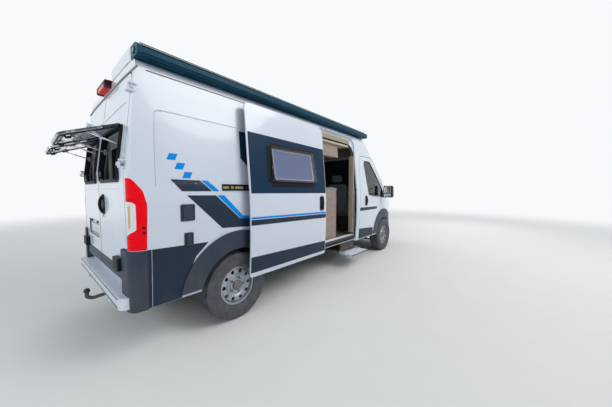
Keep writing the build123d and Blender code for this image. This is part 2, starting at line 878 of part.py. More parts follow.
def make_roof_units():
    """Two roof lights and the white housing at the rear right of the roof."""
    units = Part()
    for x, y, half_x, half_y in ((2000, 0, 350, 250), (250, 0, 200, 200)):
        plan = Pos(x, y) * RectangleRounded(2 * half_x, 2 * half_y, 60)
        dome = along_z(plan, roof_height - 84, roof_height + 68)
        dome = chamfer(dome.edges().group_by(Axis.Z)[-1], 30, 16)
        units += dome - outer
    rear_x, front_x = tail_x + 117, tail_x + 565
    face = outline(((rear_x, -806), (rear_x, -60), (front_x, -60), (front_x, -806)), (90, 90, 60, 60))
    dome = along_z(face, gutter_height, roof_height + 138)
    dome = fillet(dome.edges().group_by(Axis.Z)[-1], 70)
    return units + (dome - outer)


def hinge_cylinder(radius, y_low, y_high):
    """Cylinder along the bonnet's hinge axis."""
    return wheel_disc(bonnet_hinge_x, radius, y_low, y_high, bonnet_hinge_z)


def bonnet_hinges():
    """The bonnet's two eyes, and the pins with their brackets on the cowl."""
    eyes = Part()
    pins = Part()
    for side in (1, -1):
        eye_y = sorted((side * 436, side * 456))
        bracket_y = sorted((side * (456 + eye_gap), side * 486))
        height = (bonnet_hinge_z - 7, bonnet_hinge_z + 7)
        eye = hinge_cylinder(hinge_eye_radius - 1, *eye_y)
        eye += block((bonnet_hinge_x, bonnet_rear_x + 6), eye_y, height)
        eyes += eye - hinge_cylinder(hinge_pin_radius + run_gap, *eye_y)
        pins += block((cowl_front_x - 13, bonnet_hinge_x + 7), bracket_y, height)
        pins += hinge_cylinder(hinge_pin_radius, *sorted((side * 430, side * 486)))
    return eyes, pins


def rear_hinges(side):
    """One rear door's eyes, and the pins with their leaves on the corner post."""
    eyes = Part()
    pins = Part()
    for z in rear_hinge_heights:
        slope = lean_at(rear_hinge_heights[1]) / (rear_hinge_heights[1] - rear_hinge_heights[0])
        low_z = rear_hinge_heights[0]
        plane = Plane(
            origin=(tail_x - rear_hinge_out + slope * (z - low_z), side * rear_hinge_y, z),
            x_dir=(1, 0, -slope),
            z_dir=(slope, 0, 1),
        )
        drop = rear_door_taper * (z - rear_door_step_z) / (rear_door_top - rear_door_step_z)
        edge = shut_gap / 2 + drop + 6
        eye = Cylinder(hinge_eye_radius, 2 * eye_half)
        eye += block((-7, 7), sorted((0, -side * (edge + 40))), (-eye_half, eye_half))
        eye += block((0, leaf_depth), sorted((-side * edge, -side * (edge + 40))), (-eye_half, eye_half))
        eye -= Cylinder(hinge_pin_radius + run_gap, 4 * eye_half)
        eyes += plane * eye
        leaf_low = eye_half + eye_gap
        leaf_high = leaf_low + 14
        pin = Cylinder(hinge_pin_radius, 2 * leaf_high)
        for z_low, z_high in ((leaf_low, leaf_high), (-leaf_high, -leaf_low)):
            pin += Pos(0, 0, (z_low + z_high) / 2) * Cylinder(hinge_eye_radius, z_high - z_low)
            pin += block((-7, leaf_depth), sorted((0, side * 26)), (z_low, z_high))
        pins += plane * pin
    return eyes, pins


def door_hinges(side):
    """One front door's eyes, the pockets in the pillar and the pins between their leaves."""
    eyes = Part()
    pockets = Part()
    pins = Part()
    leaf_low = eye_half + eye_gap
    leaf_high = leaf_low + 14
    for z in door_hinge_heights:
        place = Pos(door_hinge_x, side * door_hinge_y, z)
        strap_y = sorted((0, -side * door_eye_radius))
        eye = Cylinder(door_eye_radius, 2 * eye_half) + block((-40, 0), strap_y, (-eye_half, eye_half))
        eyes += place * (eye - Cylinder(door_pin_radius + run_gap, 4 * eye_half))
        pockets += place * Cylinder(door_eye_radius + 5, 2 * leaf_low)
        pin = Cylinder(door_pin_radius, 2 * leaf_high)
        for z_low, z_high in ((leaf_low, leaf_high), (-leaf_high, -leaf_low)):
            pin += Pos(0, 0, (z_low + z_high) / 2) * Cylinder(door_eye_radius, z_high - z_low)
            pin += block((0, 18), strap_y, (z_low, z_high))
        pins += place * pin
    return eyes, pockets, pins


def make_service_flaps():
    """Mains socket flap, vent and toilet hatch, a little proud of the walls."""
    rows = (
        # side, rear x, front x, low z, high z
        (-1, -601, -477, 1137, 1288),
        (-1, -575, -495, 911, 1031),
        (1, 700, 1050, 620, 930),
        (1, 2250, 2400, 1120, 1270),
    )
    skin = envelope(-7) - outer
    flaps = Part()
    for side, x_low, x_high, z_low, z_high in rows:
        face = outline(((x_low, z_low), (x_high, z_low), (x_high, z_high), (x_low, z_high)), 12)
        flaps += skin & side_region(face, side)
    return flaps


def make_kitchen():
    """Kitchen block beside the sliding door, worktop proud of the carcass."""
    low_x, high_x = opening_rear_x - 150, opening_rear_x + 775
    wall_x = opening_rear_x - 40
    carcass = block((low_x, high_x), (-890, -520), (floor_top, counter_z - 30))
    carcass += block((low_x, wall_x), (-beside, -890), (floor_top, counter_z - 30)) & inner
    top = block((low_x - 10, high_x + 15), (-893, -500), (counter_z - 30, counter_z))
    top += block((low_x - 10, wall_x), (-beside, -890), (counter_z - 30, counter_z)) & inner
    for x in (low_x + 305, low_x + 610):
        carcass -= block((x - 2, x + 2), (-523, -510), (floor_top + 60, counter_z - 55))
    for z in (counter_z - 415, counter_z - 225):
        carcass -= block((low_x + 20, high_x - 25), (-523, -510), (z - 2, z + 2))
    sink = Pos(low_x + 240, -700, counter_z) * Cylinder(165, 50)
    return carcass + top - sink


def make_lockers():
    """Overhead lockers along both walls."""
    rows = (
        # side, rear x, front x
        (-1, -700, 2120),
        (1, -700, 600),
        (1, 1520, 2560),
    )
    lockers = Part()
    for side, x_low, x_high in rows:
        low_z = locker_top_z - 390
        points = ((640, locker_top_z), (beside, locker_top_z), (beside, low_z), (760, low_z))
        face = outline(points, (0, 0, 0, 20))
        locker = along_x(face, x_low, x_high)
        locker = locker if side > 0 else mirror(locker, Plane.XZ)
        lockers += locker & inner
    return lockers


def make_washroom():
    """Closed washroom cabin behind the dinette, on the left."""
    cabin = block((610, 1510), (180, beside), (floor_top, above_roof)) & inner
    hollow = block((635, 1485), (205, 950), (floor_top + 30, locker_top_z)) & envelope(wall + 25)
    return cabin - hollow


def make_bed():
    """Base boards of the rear cross bed, on legs either side of the boot."""
    base = block((tail_x + 115, 590), (-beside, beside), (bed_top_z - 40, bed_top_z)) & inner
    for side in (1, -1):
        y = sorted((side * 640, side * 665))
        base += block((-600, 560), y, (floor_top, bed_top_z - 40))
    return base


def make_mattress():
    """Mattress across the whole width of the bed base."""
    space = block((tail_x + 120, 585), (-beside, beside), (bed_top_z + seat_gap, bed_top_z + 120))
    return space & envelope(wall + 8)


def make_dinette():
    """Bench base and the folding table of the dinette, on the left."""
    base = block((1530, 2120), (230, beside), (floor_top, bench_z)) & inner
    back = block((1530, 1570), (230, beside), (bench_z, bench_z + 540)) & inner
    table = block((2250, 2700), (330, beside), (table_z - 28, table_z)) & inner
    leg = block((2440, 2500), (500, 560), (floor_top, table_z - 28))
    return base + back + table + leg


def make_dinette_cushions():
    """Seat and back cushion of the bench."""
    back_x = (1570 + seat_gap, 1685)
    seat = block((1690, 2110), (235, 940), (bench_z + seat_gap, bench_z + 120))
    back = block(back_x, (235, 930), (bench_z + 125, bench_z + 600))
    foot = block(back_x, (235, 930), (bench_z + seat_gap, bench_z + 120))
    return seat + back + foot


def make_cab_seats():
    """Two cab seats with pedestals, cushions, backs and head rests."""
    seats = Part()
    for y in (-450, 450):
        base = block((2930, 3290), (y - 190, y + 190), (floor_top, 850))
        cushion = block((2880, 3400), (y - 250, y + 250), (850, 980))
        cushion = fillet(cushion.edges().filter_by(Axis.Y), 40)
        face = outline(((2880, 900), (2990, 900), (2880, 1560), (2780, 1560)), (0, 0, 45, 45))
        back = along_y(face, y - 240, y + 240)
        head = outline(((2800, 1560), (2860, 1560), (2835, 1740), (2765, 1740)), (0, 0, 30, 30))
        seats += base + cushion + back + along_y(head, y - 130, y + 130)
    return seats


def make_dashboard():
    """Dashboard shelf behind the windscreen, with the steering wheel and column."""
    points = ((3700, 885), (4215, 885), (4215, 1342), (4000, 1345), (3720, 1300), (3640, 1120))
    dash = along_y(outline(points, (0, 0, 0, 60, 60, 60)), -1200, 1200) & envelope(wall + 60)
    plane = Plane(origin=(3500, 450, 1290), x_dir=(0, 1, 0), z_dir=(-0.85, 0, 0.53))
    wheel = plane * Torus(185, 14)
    wheel += plane * Cylinder(45, 30)
    for angle in (0, 120, 240):
        spoke = Rot(0, 0, angle) * Pos(108, 0, 0) * Box(150, 34, 12)
        wheel += plane * spoke
    column = Plane(origin=(3500, 450, 1290), x_dir=(0, 1, 0), z_dir=(0.85, 0, -0.53)) * Pos(0, 0, 130)
    return dash + wheel + column * Cylinder(32, 260)


def make_engine():
    """Engine and gearbox as one plain block."""
    engine = block(engine_x, (-350, 350), (engine_bottom, 1000))
    return fillet(engine.edges().filter_by(Axis.Y), 30)


def make_underfloor():
    """Tanks, exhaust, spare wheel carrier and the guide of the entrance step."""
    fuel = fillet(block((2300, 3050), (500, 900), (235, sill_bottom)).edges().filter_by(Axis.X), 40)
    waste = fillet(block((1150, 1950), (-380, 380), (230, sill_bottom)).edges().filter_by(Axis.X), 40)
    spare = Pos(-470, 0, 330) * Cylinder(330, 190)
    pipe = Pos(1200, -560, 330) * Rot(0, 90, 0) * Cylinder(32, 2100)
    silencer = Pos(1650, -600, 330) * Rot(0, 90, 0) * Cylinder(95, 500)
    units = fuel + waste + spare + pipe + silencer
    straps = (
        # rear x, front x, right y, left y, low z
        (-500, -440, -400, -330, 360),
        (-500, -440, 330, 400, 360),
        (1500, 1530, -640, -560, 410),
        (240, 270, -580, -540, 355),
    )
    for x_low, x_high, y_low, y_high, z_low in straps:
        units += block((x_low, x_high), (y_low, y_high), (z_low, sill_bottom))
    return units


def make_step_guide():
    """Channels under the floor that carry the arms of the entrance step."""
    guide = block((2225, 2855), (-880, -300), (arm_z[1] + run_gap, arm_z[1] + 8))
    for x in arm_x:
        for edge in (x - 12 - run_gap, x + arm_width + run_gap):
            guide += block((edge, edge + 12), (-880, -300), (arm_z[0] + 6, arm_z[1] + run_gap))
    for y in (-865, -340):
        guide += block((2300, 2780), (y - 15, y + 15), (arm_z[1] + 8, sill_bottom))
    return guide


def make_entrance_step():
    """Step plate under two arms, run out below the sliding door."""
    corners = (
        (step_x[0], -step_edge_y),
        (step_x[1], -step_edge_y),
        (step_x[1], step_depth - step_edge_y),
        (step_x[0], step_depth - step_edge_y),
    )
    plate = along_z(outline(corners, (30, 30, 0, 0)), arm_z[0] - step_thickness, arm_z[0])
    for x in arm_x:
        plate += block((x, x + arm_width), (-1000, -600), arm_z)
    return plate


def make_rear_axle():
    """Beam axle with stub ends, on two leaf springs with shackles."""
    reach = rear_half_track + 50
    axle = wheel_disc(0, 38, -rear_half_track + 75, rear_half_track - 75)
    for side in (1, -1):
        y = sorted((side * (rear_half_track - 75), side * reach))
        axle += wheel_disc(0, 30, *y)
        y = sorted((side * (rear_half_track - 45), side * (rear_half_track - 20)))
        axle += wheel_disc(0, 140, *y)
        outer_arc = ThreePointArc((-620, 370), (0, 300), (620, 370))
        inner_arc = ThreePointArc((-620, 340), (0, 268), (620, 340))
        ends = [Line((620, 370), (620, 340)), Line((-620, 340), (-620, 370))]
        leaf = make_face(Wire([outer_arc.edge(), ends[0].edge(), inner_arc.edge(), ends[1].edge()]))
        y = sorted((side * 415, side * 485))
        axle += along_y(leaf, *y)
        axle += block((-60, 60), y, (290, 345))
        for x in (-620, 560):
            axle += block((x, x + 60), y, (345, sill_bottom - 28))
    return axle


def make_front_subframe():
    """Cross member with lower arms, struts and engine bearers, each a bar of its own."""
    half = 500
    bars = [block((wheelbase - 160, wheelbase + 160), (-half, half), (195, 260))]
    arm_half = arm_plate / 2
    for side in (1, -1):
        kingpin = side * kingpin_y
        y = sorted((side * half, kingpin))
        low_arm = block((wheelbase - 30, wheelbase + 30), y, (arm_low_z - arm_half, arm_low_z + arm_half))
        low_arm += Pos(wheelbase, kingpin, arm_low_z) * Cylinder(30, arm_plate)
        y = sorted((side * (strut_y - 20), kingpin))
        top_arm = block((wheelbase - 25, wheelbase + 25), y, (arm_high_z - arm_half, arm_high_z + arm_half))
        top_arm += Pos(wheelbase, kingpin, arm_high_z) * Cylinder(30, arm_plate)
        strut = Cylinder(strut_radius, strut_top_z - arm_high_z)
        top_arm += Pos(wheelbase, side * strut_y, (arm_high_z + strut_top_z) / 2) * strut
        for arm, z in ((low_arm, arm_low_z), (top_arm, arm_high_z)):
            bars.append(arm - Pos(wheelbase, kingpin, z) * Cylinder(pin_radius + run_gap, 60))
        y = sorted((side * (rail_y[0] + 5), side * (rail_y[1] - 5)))
        bars.append(block((wheelbase - 60, wheelbase + 60), y, (260, 420)))
        y = sorted((side * 270, side * 330))
        bars.append(block((wheelbase + 160, engine_x[1]), y, (222, 260)))
        for x in engine_x[0] + 30, engine_x[1] - 90:
            bars.append(block((x, x + 60), y, (260, engine_bottom - seat_gap)))
    return Compound([solid for bar in bars for solid in bar.solids()])


def make_knuckle(side):
    """Steering knuckle with its pins, stub axle, brake disc and steering arm."""
    y = (kingpin_y - 22, kingpin_y + 22)
    post = block((wheelbase - 26, wheelbase + 26), y, (arm_low_z + 18, arm_high_z - 18))
    pin = Cylinder(pin_radius, arm_high_z - arm_low_z + 20)
    post += Pos(wheelbase, kingpin_y, (arm_low_z + arm_high_z) / 2) * pin
    post += wheel_disc(wheelbase, stub_radius, kingpin_y, front_half_track + 50)
    post += wheel_disc(wheelbase, 135, front_half_track - 12, front_half_track - 4)
    post += block((wheelbase - 150, wheelbase - 20), (kingpin_y - 15, kingpin_y + 10), (300, 325))
    return post if side > 0 else mirror(post, Plane.XZ)


def make_rim(x, y, side):
    """Steel wheel: rim barrel, dished disc with round holes and a raised centre."""
    lip = rim_radius + 13
    barrel = (
        # radius, outward from the wheel's middle
        (rim_radius - 13, -84), (lip, -84), (rim_radius, -70),
        (rim_radius, 70), (lip, 84), (rim_radius - 13, 84),
    )
    disc = (
        # radius, outward from the wheel's middle
        (rim_radius - 13, 28), (rim_radius - 13, 42), (172, 60), (128, 62), (108, 48), (88, 50), (76, 68),
        (0, 68), (0, 52), (66, 50), (110, 34), (130, 50), (168, 48), (178, 30),
    )
    hub = ((stub_radius + run_gap, 5), (72, 5), (72, 52), (stub_radius + run_gap, 52))
    solid = Part()
    for profile in (barrel, disc, hub):
        solid += revolve(make_face(Polyline(*profile, close=True)), Axis.Y)
    for index in range(rim_holes):
        angle = radians(360 * index / rim_holes)
        place = Pos(rim_hole_circle * cos(angle), 55, rim_hole_circle * sin(angle))
        solid -= place * Rot(90, 0, 0) * Cylinder(rim_hole_radius, 60)
    if side < 0:
        solid = mirror(solid, Plane.XZ)
    return Pos(x, y, tyre_radius) * solid


def make_tyre(x, y):
    """Tyre outline with rounded shoulders and bulged side walls."""
    half = tyre_width / 2
    inner_radius = rim_radius + seat_gap
    edge = (
        # radius, out from the wheel's middle
        (inner_radius, half - 43.5),
        (inner_radius + 18, half - 24),
        (inner_radius + 72, half),
        (tyre_radius - 12, half - 11),
        (tyre_radius, half - 40),
    )
    points = [(r, -out) for r, out in edge] + [(r, out) for r, out in reversed(edge)]
    face = make_face(Polyline(*points, close=True))
    return Pos(x, y, tyre_radius) * revolve(face, Axis.Y)


def write(name, shape):
    """Save one piece, moved to the shared origin."""
    export_step(Pos(origin_shift, 0, 0) * shape, f"parts/{name}.step")


flap_tip_x = (
    flap_hinge_x
    - flap_length * sin(radians(flap_open_angle))
    - flap_thickness * cos(radians(flap_open_angle))
)
origin_shift = -(nose_x + flap_tip_x) / 2

pieces = {
    "side_wall_right": make_side_wall(-1),
    "side_wall_left": make_side_wall(1),
    "roof_shell": make_roof(),
    "cab_roof": make_cab_roof(),
    "rear_frame": make_rear_frame(),
    "floor_pan": make_floor(),
    "cab_frame": make_cab_frame(),
    "front_bumper": make_bumper(),
    "headlamps": make_headlamps(),
    "bonnet": make_bonnet(),
    "windows": make_windows(),
    "rear_lamps": make_rear_lamps(),
    "lower_trim": make_lower_trim(),
    "rear_step": make_rear_step(),
    "tow_bar": make_tow_bar(),
    "brake_light": make_brake_light(),
    "sliding_door": make_sliding_door(),
    "sliding_window": make_sliding_window(),
    "door_rails": make_door_rails(),
    "awning": make_awning(),
    "roof_units": make_roof_units(),
    "service_flaps": make_service_flaps(),
    "kitchen_unit": make_kitchen(),
    "overhead_lockers": make_lockers(),
    "washroom": make_washroom(),
    "bed_base": make_bed(),
    "mattress": make_mattress(),
    "dinette": make_dinette(),
    "dinette_cushions": make_dinette_cushions(),
    "cab_seats": make_cab_seats(),
    "dashboard": make_dashboard(),
    "engine_block": make_engine(),
    "underfloor_units": make_underfloor(),
    "step_guide": make_step_guide(),
    "entrance_step": make_entrance_step(),
    "rear_axle": make_rear_axle(),
    "front_subframe": make_front_subframe(),
}
sides = (("right", -1), ("left", 1))
for word, side in sides:
    pieces[f"front_wing_{word}"] = make_wing(side)
    pieces[f"cab_door_{word}"] = make_cab_door(side)
    pieces[f"cab_glass_{word}"] = make_cab_glass(side)
    pieces[f"door_mirror_{word}"] = make_mirror(side)
    pieces[f"rear_door_{word}"] = make_rear_door(side)
    pieces[f"rear_window_{word}"] = make_rear_window(side)
    pieces[f"knuckle_{word}"] = make_knuckle(side)
    axles = (("front", wheelbase, front_half_track), ("rear", 0, rear_half_track))
    for place, x, half_track in axles:
        pieces[f"rim_{place}_{word}"] = make_rim(x, side * half_track, side)
        pieces[f"tyre_{place}_{word}"] = make_tyre(x, side * half_track)

for name, shape in pieces.items():
    write(name, shape)
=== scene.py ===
import math

import bmesh
import bpy
from bpy.props import FloatProperty, FloatVectorProperty, IntProperty, PointerProperty
from mathutils import Matrix, Vector
from mathutils.bvhtree import BVHTree


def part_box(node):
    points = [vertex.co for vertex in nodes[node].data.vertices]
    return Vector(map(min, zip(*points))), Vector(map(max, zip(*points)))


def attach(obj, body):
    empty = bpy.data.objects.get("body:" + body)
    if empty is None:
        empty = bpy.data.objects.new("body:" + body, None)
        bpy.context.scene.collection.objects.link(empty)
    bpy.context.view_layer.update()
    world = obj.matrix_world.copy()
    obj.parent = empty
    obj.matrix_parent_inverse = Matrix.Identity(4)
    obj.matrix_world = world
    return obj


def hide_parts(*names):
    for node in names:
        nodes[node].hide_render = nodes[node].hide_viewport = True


bl_info = {
    "name": "Camper van dressing",
    "version": (1, 0, 0),
    "blender": (4, 5, 0),
    "location": "3D View > Sidebar > Camper",
    "description": "Finishes, trim and furnishings of a high-roof camper van, built on its CAD frame",
    "category": "Object",
}

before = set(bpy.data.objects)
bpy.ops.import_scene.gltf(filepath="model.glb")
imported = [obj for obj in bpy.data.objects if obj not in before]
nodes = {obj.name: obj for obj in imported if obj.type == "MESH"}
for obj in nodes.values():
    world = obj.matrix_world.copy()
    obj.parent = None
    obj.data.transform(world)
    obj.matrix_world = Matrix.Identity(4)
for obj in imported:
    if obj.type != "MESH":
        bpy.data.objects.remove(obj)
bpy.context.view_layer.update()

tyre_low, tyre_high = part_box("tyre_rear_right")
axle_x = (tyre_low.x + tyre_high.x) / 2
hub_height = (tyre_high.z + tyre_low.z) / 2
RIGHT = -1
LEFT = 1
SIDES = ((RIGHT, "right"), (LEFT, "left"))
FORWARD = Vector((1, 0, 0))
UP = Vector((0, 0, 1))
# distance of the open sliding door from the body side, rise of panes over their panel, thickness of films
DOOR_OUT = 0.09
PANE_OUT = 0.009
FILM = 0.0006


class PaintSettings(bpy.types.PropertyGroup):
    """Colours of the body and its trim."""

    # the body is white; the blue tint of this default is painted shade, the bluish cast of its shaded sides
    body: FloatVectorProperty(
        name="Body paint", description="Colour of the painted body", subtype="COLOR",
        default=(0.64, 0.70, 0.80), min=0, max=1,
    )
    dark: FloatVectorProperty(
        name="Dark trim", description="Colour of the lower panels and corner trim", subtype="COLOR",
        default=(0.016, 0.030, 0.055), min=0, max=1,
    )
    stripe: FloatVectorProperty(
        name="Accent stripe", description="Colour of the thin stripe along the side", subtype="COLOR",
        default=(0.0, 0.27, 0.80), min=0, max=1,
    )
    dust: FloatVectorProperty(
        name="Dust", description="Colour of road dust on the lower body", subtype="COLOR",
        default=(0.34, 0.31, 0.28), min=0, max=1,
    )
    dust_amount: FloatProperty(
        name="Dust amount", description="How much dust lies low on the body", default=0.5, min=0, max=1,
        subtype="FACTOR",
    )


class WheelSettings(bpy.types.PropertyGroup):
    """Tyres and wheels."""

    tread_blocks: IntProperty(
        name="Tread blocks", description="Blocks in each row of the tread", default=56, min=12, max=90,
    )
    groove_depth: FloatProperty(
        name="Groove depth", description="Depth of the tread grooves", default=0.007, unit="LENGTH",
    )
    bolts: IntProperty(name="Wheel bolts", description="Bolts in each wheel", default=5, min=3, max=8)


class LightSettings(bpy.types.PropertyGroup):
    """Soft studio light."""

    world: FloatProperty(name="World light", description="Strength of the even light", default=0.47, min=0)
    key: FloatProperty(name="Key light", description="Power of the large soft lamp", default=430.0, min=0)
    fill: FloatProperty(name="Fill light", description="Power of each further lamp", default=200.0, min=0)


def at(x, y, z):
    """Place measured forward of the rear axle, left of the middle and up from the ground."""
    return Vector((axle_x + x, y, z))


def link(name, mesh):
    """Object for a mesh, in the scene's own collection."""
    piece = bpy.data.objects.new(name, mesh)
    bpy.context.scene.collection.objects.link(piece)
    return piece


def finish_piece(name, bm, finish, smooth=None, body="van"):
    """Turn a bmesh into a named piece riding on a body, shaded smooth up to an angle in degrees."""
    bmesh.ops.recalc_face_normals(bm, faces=bm.faces)
    mesh = bpy.data.meshes.new(name)
    bm.to_mesh(mesh)
    bm.free()
    piece = link(name, mesh)
    mesh.materials.append(finishes[finish])
    if smooth is not None:
        mesh.shade_smooth()
        mesh.set_sharp_from_angle(angle=math.radians(smooth))
    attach(piece, body)
    return piece


pending = []


def new_piece(name, finish, smooth=None, body="van"):
    """Empty bmesh of a piece that finish_pieces() turns into an object when its forms are in it."""
    bm = bmesh.new()
    pending.append((name, bm, finish, smooth, body))
    return bm


def finish_pieces():
    """Finish every piece that was begun."""
    for row in pending:
        finish_piece(*row)
    pending.clear()


def add_box(bm, low, high, bevel=0.0, segments=2):
    """Box between two corners, with its edges rounded."""
    made = bmesh.ops.create_cube(bm, size=1.0)
    size = Vector(high) - Vector(low)
    middle = (Vector(high) + Vector(low)) / 2
    bmesh.ops.scale(bm, vec=size, verts=made["verts"])
    bmesh.ops.translate(bm, vec=middle, verts=made["verts"])
    if bevel:
        edges = list({edge for vert in made["verts"] for edge in vert.link_edges})
        bmesh.ops.bevel(bm, geom=edges, offset=bevel, segments=segments, profile=0.6, affect="EDGES")


def add_rod(bm, start, end, radius, steps=16):
    """Round rod between two points, with closed ends."""
    start = Vector(start)
    end = Vector(end)
    along = end - start
    turn = along.to_track_quat("Z", "Y").to_matrix().to_4x4()
    place = Matrix.Translation((start + end) / 2) @ turn
    bmesh.ops.create_cone(
        bm, cap_ends=True, segments=steps, radius1=radius, radius2=radius, depth=along.length, matrix=place
    )


def rounded(corners, radius, steps=4):
    """Corner points of a polygon with each corner turned into an arc."""
    count = len(corners)
    radii = radius if isinstance(radius, (list, tuple)) else [radius] * count
    points = []
    for index in range(count):
        here = Vector(corners[index])
        before = Vector(corners[index - 1]) - here
        after = Vector(corners[(index + 1) % count]) - here
        size = radii[index]
        if size <= 0:
            points.append(here)
            continue
        half = before.angle(after) / 2
        reach = min(size / math.tan(half), before.length * 0.49, after.length * 0.49)
        size = reach * math.tan(half)
        start = here + before.normalized() * reach
        end = here + after.normalized() * reach
        centre = here + (before.normalized() + after.normalized()).normalized() * size / math.sin(half)
        first = start - centre
        sweep = first.angle_signed(end - centre)
        for step in range(steps + 1):
            spin = Matrix.Rotation(-sweep * step / steps, 2)
            points.append(centre + spin @ first)
    return points


def rectangle(x_low, x_high, z_low, z_high):
    """Four corners of an upright rectangle."""
    return [(x_low, z_low), (x_high, z_low), (x_high, z_high), (x_low, z_high)]


def grown(points, amount):
    """Outline moved outwards by an even amount."""
    area = sum(
        points[i - 1][0] * points[i][1] - points[i][0] * points[i - 1][1] for i in range(len(points))
    )
    sign = 1 if area > 0 else -1
    result = []
    for index, point in enumerate(points):
        before = (Vector(point) - Vector(points[index - 1])).normalized()
        after = (Vector(points[(index + 1) % len(points)]) - Vector(point)).normalized()
        normal = Vector((before.y + after.y, -before.x - after.x)) * sign
        if normal.length < 1e-6:
            normal = Vector((before.y, -before.x)) * sign
        normal.normalize()
        stretch = max(0.5, normal.dot(Vector((before.y, -before.x)) * sign))
        result.append(Vector(point) + normal * amount / stretch)
    return result


trees = {}


def surface_of(names):
    """Search tree over the outer surface of some CAD nodes."""
    if names not in trees:
        verts = []
        faces = []
        for name in names.split():
            start = len(verts)
            mesh = nodes[name].data
            verts.extend(v.co.copy() for v in mesh.vertices)
            faces.extend([start + i for i in p.vertices] for p in mesh.polygons)
        trees[names] = BVHTree.FromPolygons(verts, faces)
    return trees[names]


def ray_hit(names, start, direction, near):
    """Point where a ray meets some CAD nodes, or else the point nearest to a place, and its normal."""
    tree = surface_of(names)
    point, normal = tree.ray_cast(start, Vector(direction))[:2]
    if point is None:
        point, normal = tree.find_nearest(near)[:2]
    return point, (-normal if normal.dot(Vector(direction)) > 0 else normal)


def side_hit(names, side, x, z):
    """Point of the body side at a place in side view, and its outward normal."""
    return ray_hit(names, at(x, side * 1.6, z), (0, -side, 0), at(x, side * 1.02, z))


def tail_hit(names, y, z):
    """Point of the tail at a place in rear view, and its outward normal."""
    return ray_hit(names, at(-1.6, y, z), FORWARD, at(-0.985, y, z))


def laid(bm, points, hit, lift, thickness, step=0.06, holes=()):
    """Sheet with an outline, wrapped on a surface and raised by lift, closed to the given thickness."""
    flat = bmesh.new()
    edges = []
    for loop in (points, *holes):
        verts = [flat.verts.new((p[0], p[1], 0)) for p in loop]
        edges.extend(flat.edges.new((verts[i - 1], verts[i])) for i in range(len(verts)))
    bmesh.ops.triangle_fill(flat, use_beauty=True, edges=edges)
    xs = [p[0] for p in points]
    ys = [p[1] for p in points]
    for axis, low, high in ((0, min(xs), max(xs)), (1, min(ys), max(ys))):
        for index in range(1, int((high - low) / step) + 1):
            place = [0, 0, 0]
            place[axis] = low + index * step
            normal = [0, 0, 0]
            normal[axis] = 1
            geometry = flat.verts[:] + flat.edges[:] + flat.faces[:]
            bmesh.ops.bisect_plane(flat, geom=geometry, plane_co=place, plane_no=normal)
    flat.verts.index_update()
    top = []
    bottom = []
    for vert in flat.verts:
        point, normal = hit(vert.co.x, vert.co.y)
        top.append(bm.verts.new(point + normal * (lift + thickness)))
        bottom.append(bm.verts.new(point + normal * lift))
    for face in flat.faces:
        loop = [v.index for v in face.verts]
        bm.faces.new([top[i] for i in loop])
        bm.faces.new([bottom[i] for i in reversed(loop)])
    for edge in flat.edges:
        if len(edge.link_faces) == 1:
            a, b = (v.index for v in edge.verts)
            bm.faces.new((top[a], top[b], bottom[b], bottom[a]))
    flat.free()


def on_side(names, side):
    """Surface function for laid() on one side of the body."""
    return lambda x, z: side_hit(names, side, x, z)


def dense(points, step=0.05):
    """Closed outline with its long edges divided."""
    result = []
    for index, point in enumerate(points):
        here = Vector(point)
        after = Vector(points[(index + 1) % len(points)])
        count = max(1, math.ceil((after - here).length / step))
        result.extend(here.lerp(after, part / count) for part in range(count))
    return result


skin_rows = []


def skin_half(z):
    """Half width of the body's outer skin at a height, taken behind the pressings."""
    if not skin_rows:
        for index in range(76):
            height = 0.50 + 0.025 * index
            point, normal = side_hit("side_wall_right", RIGHT, -0.80, height)
            skin_rows.append(-point.y)
    place = min(max((z - 0.50) / 0.025, 0.0), 74.999)
    index = int(place)
    return skin_rows[index] + (skin_rows[index + 1] - skin_rows[index]) * (place - index)


def on_skin(side, out=0.0):
    """Surface function of the smooth body side, moved outwards, also over its openings."""
    def hit(x, z):
        slope = (skin_half(z + 0.02) - skin_half(z - 0.02)) / 0.04
        normal = Vector((0, side, -slope)).normalized()
        return at(x, side * (skin_half(z) + out), z), normal
    return hit


def on_back(out=0.0):
    """Surface function of the smooth tail, also over its openings, drawn with y across and z up."""
    def hit(y, z):
        lean = 0.115 * max(0.0, z - 1.6) / 0.924
        x = -0.985 + lean + 0.013 * max(0.0, abs(y) - 0.6) / 0.42
        normal = Vector((-1, 0, 0.1245 if z > 1.6 else 0.0)).normalized()
        return at(x, y, z) + normal * out, normal
    return hit


def traced(points, hit, lift=0.0):
    """Points of an outline on a surface, raised by lift."""
    return [point + normal * lift for point, normal in (hit(a, b) for a, b in points)]


def edge_tube(bm, shape, amount, hit, lift, radius, step=0.05, steps=8):
    """Closed tube on a surface, along an outline moved outwards by amount."""
    add_tube(bm, traced(dense(grown(shape, amount), step), hit, lift), radius, steps, closed=True)


def add_tube(bm, points, radius, steps=8, closed=False, squash=1.0):
    """Tube along points, with rings square to the path and closed ends."""
    points = [Vector(p) for p in points]
    count = len(points)
    rings = []
    across = None
    for index, here in enumerate(points):
        before = points[index - 1] if index or closed else here
        after = points[(index + 1) % count] if index < count - 1 or closed else here
        along = (after - before).normalized()
        if across is None:
            across = along.cross(UP)
            if across.length < 0.05:
                across = along.cross(FORWARD)
        across = (across - along * across.dot(along)).normalized()
        over = across.cross(along)
        ring = []
        for step in range(steps):
            turn = 2 * math.pi * step / steps
            offset = across * (math.cos(turn) * radius) + over * (math.sin(turn) * radius * squash)
            ring.append(bm.verts.new(here + offset))
        rings.append(ring)
    join_rings(bm, rings, closed)


